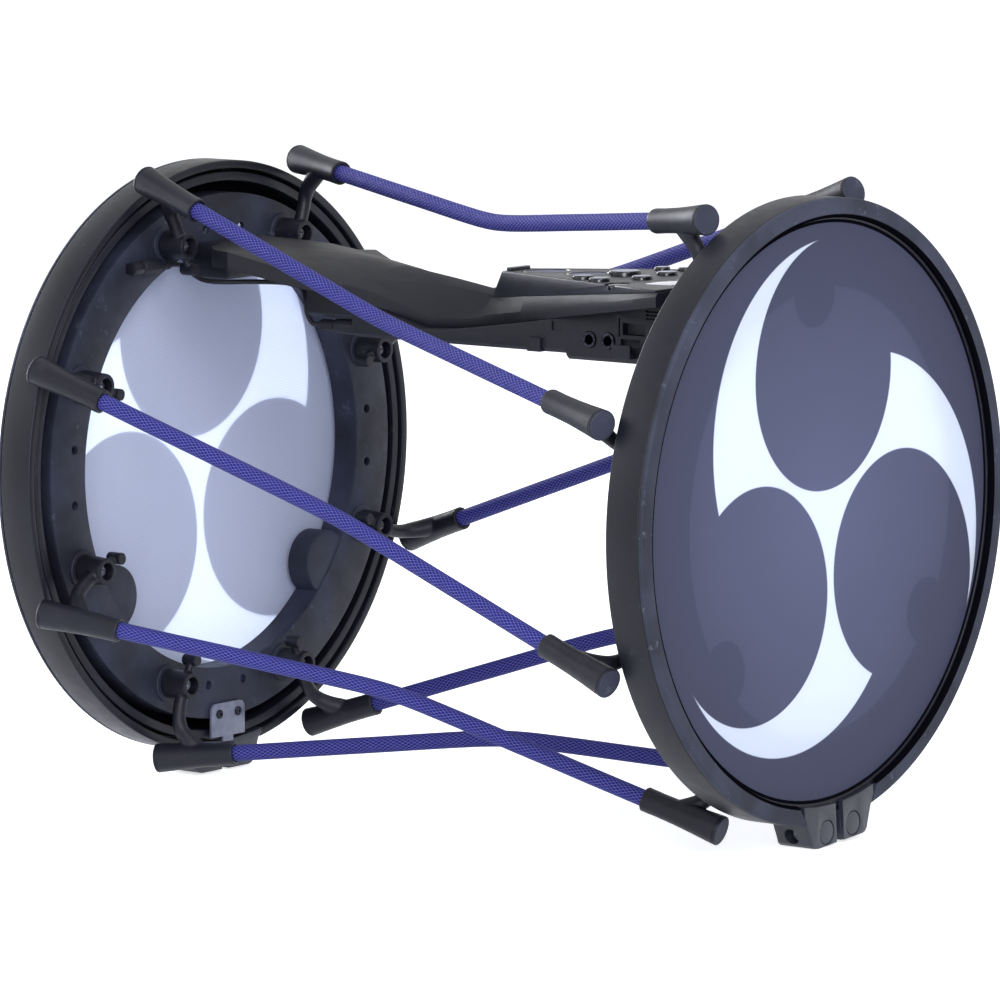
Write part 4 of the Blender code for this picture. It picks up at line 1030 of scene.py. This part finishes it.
def keyModel(name):
    along, across, radius, height, depth, kind = panelForm["keys"][name]
    seat = Vector((along, across, panelForm["height"] + panelForm["slope"]
                   * (along - panelForm["start"]))) + upAxis
    key = cylinderAt(name + "Shown", seat + panelUp * (height - depth) / 2, radius, height + depth,
                     panelUp, 64)
    onlySelect(key)
    bpy.ops.object.mode_set(mode="EDIT")

    def top(centre, normal):
        return normal.dot(panelUp) > 0.99

    edge = {"flush": 0.0003, "knob": 0.0008, "key": 0.0009, "dark": 0.0005}[kind]
    pickFaces(key, top)
    bpy.ops.mesh.bevel(offset=edge, segments=3, affect="EDGES")
    if kind == "flush":
        # a thin raised ring round a shallow dish
        pickFaces(key, top)
        bpy.ops.mesh.inset(thickness=0.0010)
        bpy.ops.mesh.inset(thickness=0.0003)
        bpy.ops.transform.translate(value=tuple(panelUp * -0.0005))
        bpy.ops.mesh.inset(thickness=0.0040)
        bpy.ops.transform.translate(value=tuple(panelUp * -0.0001))
    if kind == "knob":
        # a turned recess on top
        pickFaces(key, top)
        bpy.ops.mesh.inset(thickness=0.0012)
        bpy.ops.transform.translate(value=tuple(panelUp * -0.0004))
    bpy.ops.object.mode_set(mode="OBJECT")
    bpy.ops.object.shade_smooth_by_angle(angle=math.radians(35))
    finishes = {"flush": (keyBlack, padRubber), "knob": (keyBlack, keyPale),
                "key": (keyBlack, keyPale), "dark": (keyBlack, keyBlack)}[kind]
    for finish in finishes:
        key.data.materials.append(finish)
    inner = {"flush": radius - 0.0014, "knob": radius - 0.0007, "key": radius - 0.0008,
             "dark": radius}[kind]
    for face in key.data.polygons:
        off = face.center - seat
        sideways = (off - panelUp * off.dot(panelUp)).length
        face.material_index = int(face.normal.dot(panelUp) > 0.8 and sideways < inner)
    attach(key, name)
    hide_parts(name)
    return key


for name in panelForm["keys"]:
    keyModel(name)
tip = smoothCopy("tip_button", keyBlack, body="tip_button", edge=0.0007, angle=30)
tip.data.materials.append(keyPale)
for face in tip.data.polygons:
    face.material_index = int(face.normal.dot(panelUp) > 0.9)
print("arm and controls shown")


# Room, light and camera
room = {
    "roomLight": 0.42,           # what the white room gives the drum
    "floorGlow": 0.64,           # what the camera sees of the floor beside its own light
    "floorRadius": 16.0,
}


def shownRays(tree):
    # 1 for what the camera sees straight, in gloss or through clear plastic
    rays = addNode(tree, "ShaderNodeLightPath").outputs
    either = addNode(tree, "ShaderNodeMath", {0: rays["Is Camera Ray"], 1: rays["Is Glossy Ray"]},
                     operation="MAXIMUM").outputs[0]
    return addNode(tree, "ShaderNodeMath", {0: either, 1: rays["Is Transmission Ray"]},
                   operation="MAXIMUM").outputs[0]


def paperFloor():
    # seamless white paper: dull and even, and it keeps the drum's soft shadow
    material, tree, shader = newMaterial("seamlessPaper")
    shader.inputs["Base Color"].default_value = toLinear("#eef0f4")
    shader.inputs["Roughness"].default_value = 0.95
    shader.inputs["Specular IOR Level"].default_value = 0.1
    shader.inputs["Emission Color"].default_value = (1.0, 1.0, 1.0, 1.0)
    glow = addNode(tree, "ShaderNodeMapRange", {"Value": shownRays(tree),
                                                "To Max": room["floorGlow"]})
    tree.links.new(glow.outputs["Result"], shader.inputs["Emission Strength"])
    return material


bpy.ops.object.select_all(action="DESELECT")
bpy.ops.mesh.primitive_circle_add(vertices=96, radius=room["floorRadius"], fill_type="NGON")
floor = bpy.context.object
floor.name = "floor"
floor.data.materials.append(paperFloor())

world = bpy.data.worlds.new("studioWhite")
bpy.context.scene.world = world
world.use_nodes = True
roomTree = world.node_tree
shownShare = shownRays(roomTree)
roomTone = addNode(roomTree, "ShaderNodeMix", {"Factor": shownShare, "A": (0.90, 0.93, 1.0, 1.0),
                                               "B": (1.0, 1.0, 1.0, 1.0)}, data_type="RGBA")
roomStrength = addNode(roomTree, "ShaderNodeMapRange", {"Value": shownShare,
                                                        "To Min": room["roomLight"]})
roomTree.links.new(roomTone.outputs[2], roomTree.nodes["Background"].inputs["Color"])
roomTree.links.new(roomStrength.outputs["Result"], roomTree.nodes["Background"].inputs["Strength"])

lights = [
    # name, place, size, watts
    ("frontSoftbox", (3.6, -2.2, 2.6), 2.6, 165.0),
    ("leftSoftbox", (-2.6, -3.4, 2.2), 2.4, 40.0),
    ("topSoftbox", (0.2, 0.2, 3.2), 2.8, 21.0),
    ("fillBesideCamera", (2.3, -3.4, 0.9), 1.4, 66.0),
    ("throughLeftHead", (-2.4, 0.3, 0.5), 1.6, 95.0),
]
for name, spot, size, watts in lights:
    data = bpy.data.lights.new(name, "AREA")
    data.energy = watts
    data.size = size
    data.color = (0.92, 0.95, 1.0)
    lamp = bpy.data.objects.new(name, data)
    bpy.context.scene.collection.objects.link(lamp)
    lamp.location = spot
    lamp.rotation_euler = (Vector((0.0, 0.0, 0.2)) - Vector(spot)).to_track_quat("-Z", "Y").to_euler()

view = {
    "place": (2.7249, -3.5555, 0.7612),
    "aim": (0.0, 0.0, 0.1960),
    "lensMm": 256.76,            # on a 36 mm wide frame
}
cameraData = bpy.data.cameras.new("camera")
camera = bpy.data.objects.new("camera", cameraData)
bpy.context.scene.collection.objects.link(camera)
cameraData.lens = view["lensMm"]
cameraData.sensor_width = 36.0
cameraData.clip_end = 60.0
camera.location = view["place"]
looking = Vector(view["aim"]) - Vector(view["place"])
camera.rotation_euler = looking.to_track_quat("-Z", "Y").to_euler()
bpy.context.scene.camera = camera
bpy.context.scene.view_settings.view_transform = "Standard"

print("scene ready")
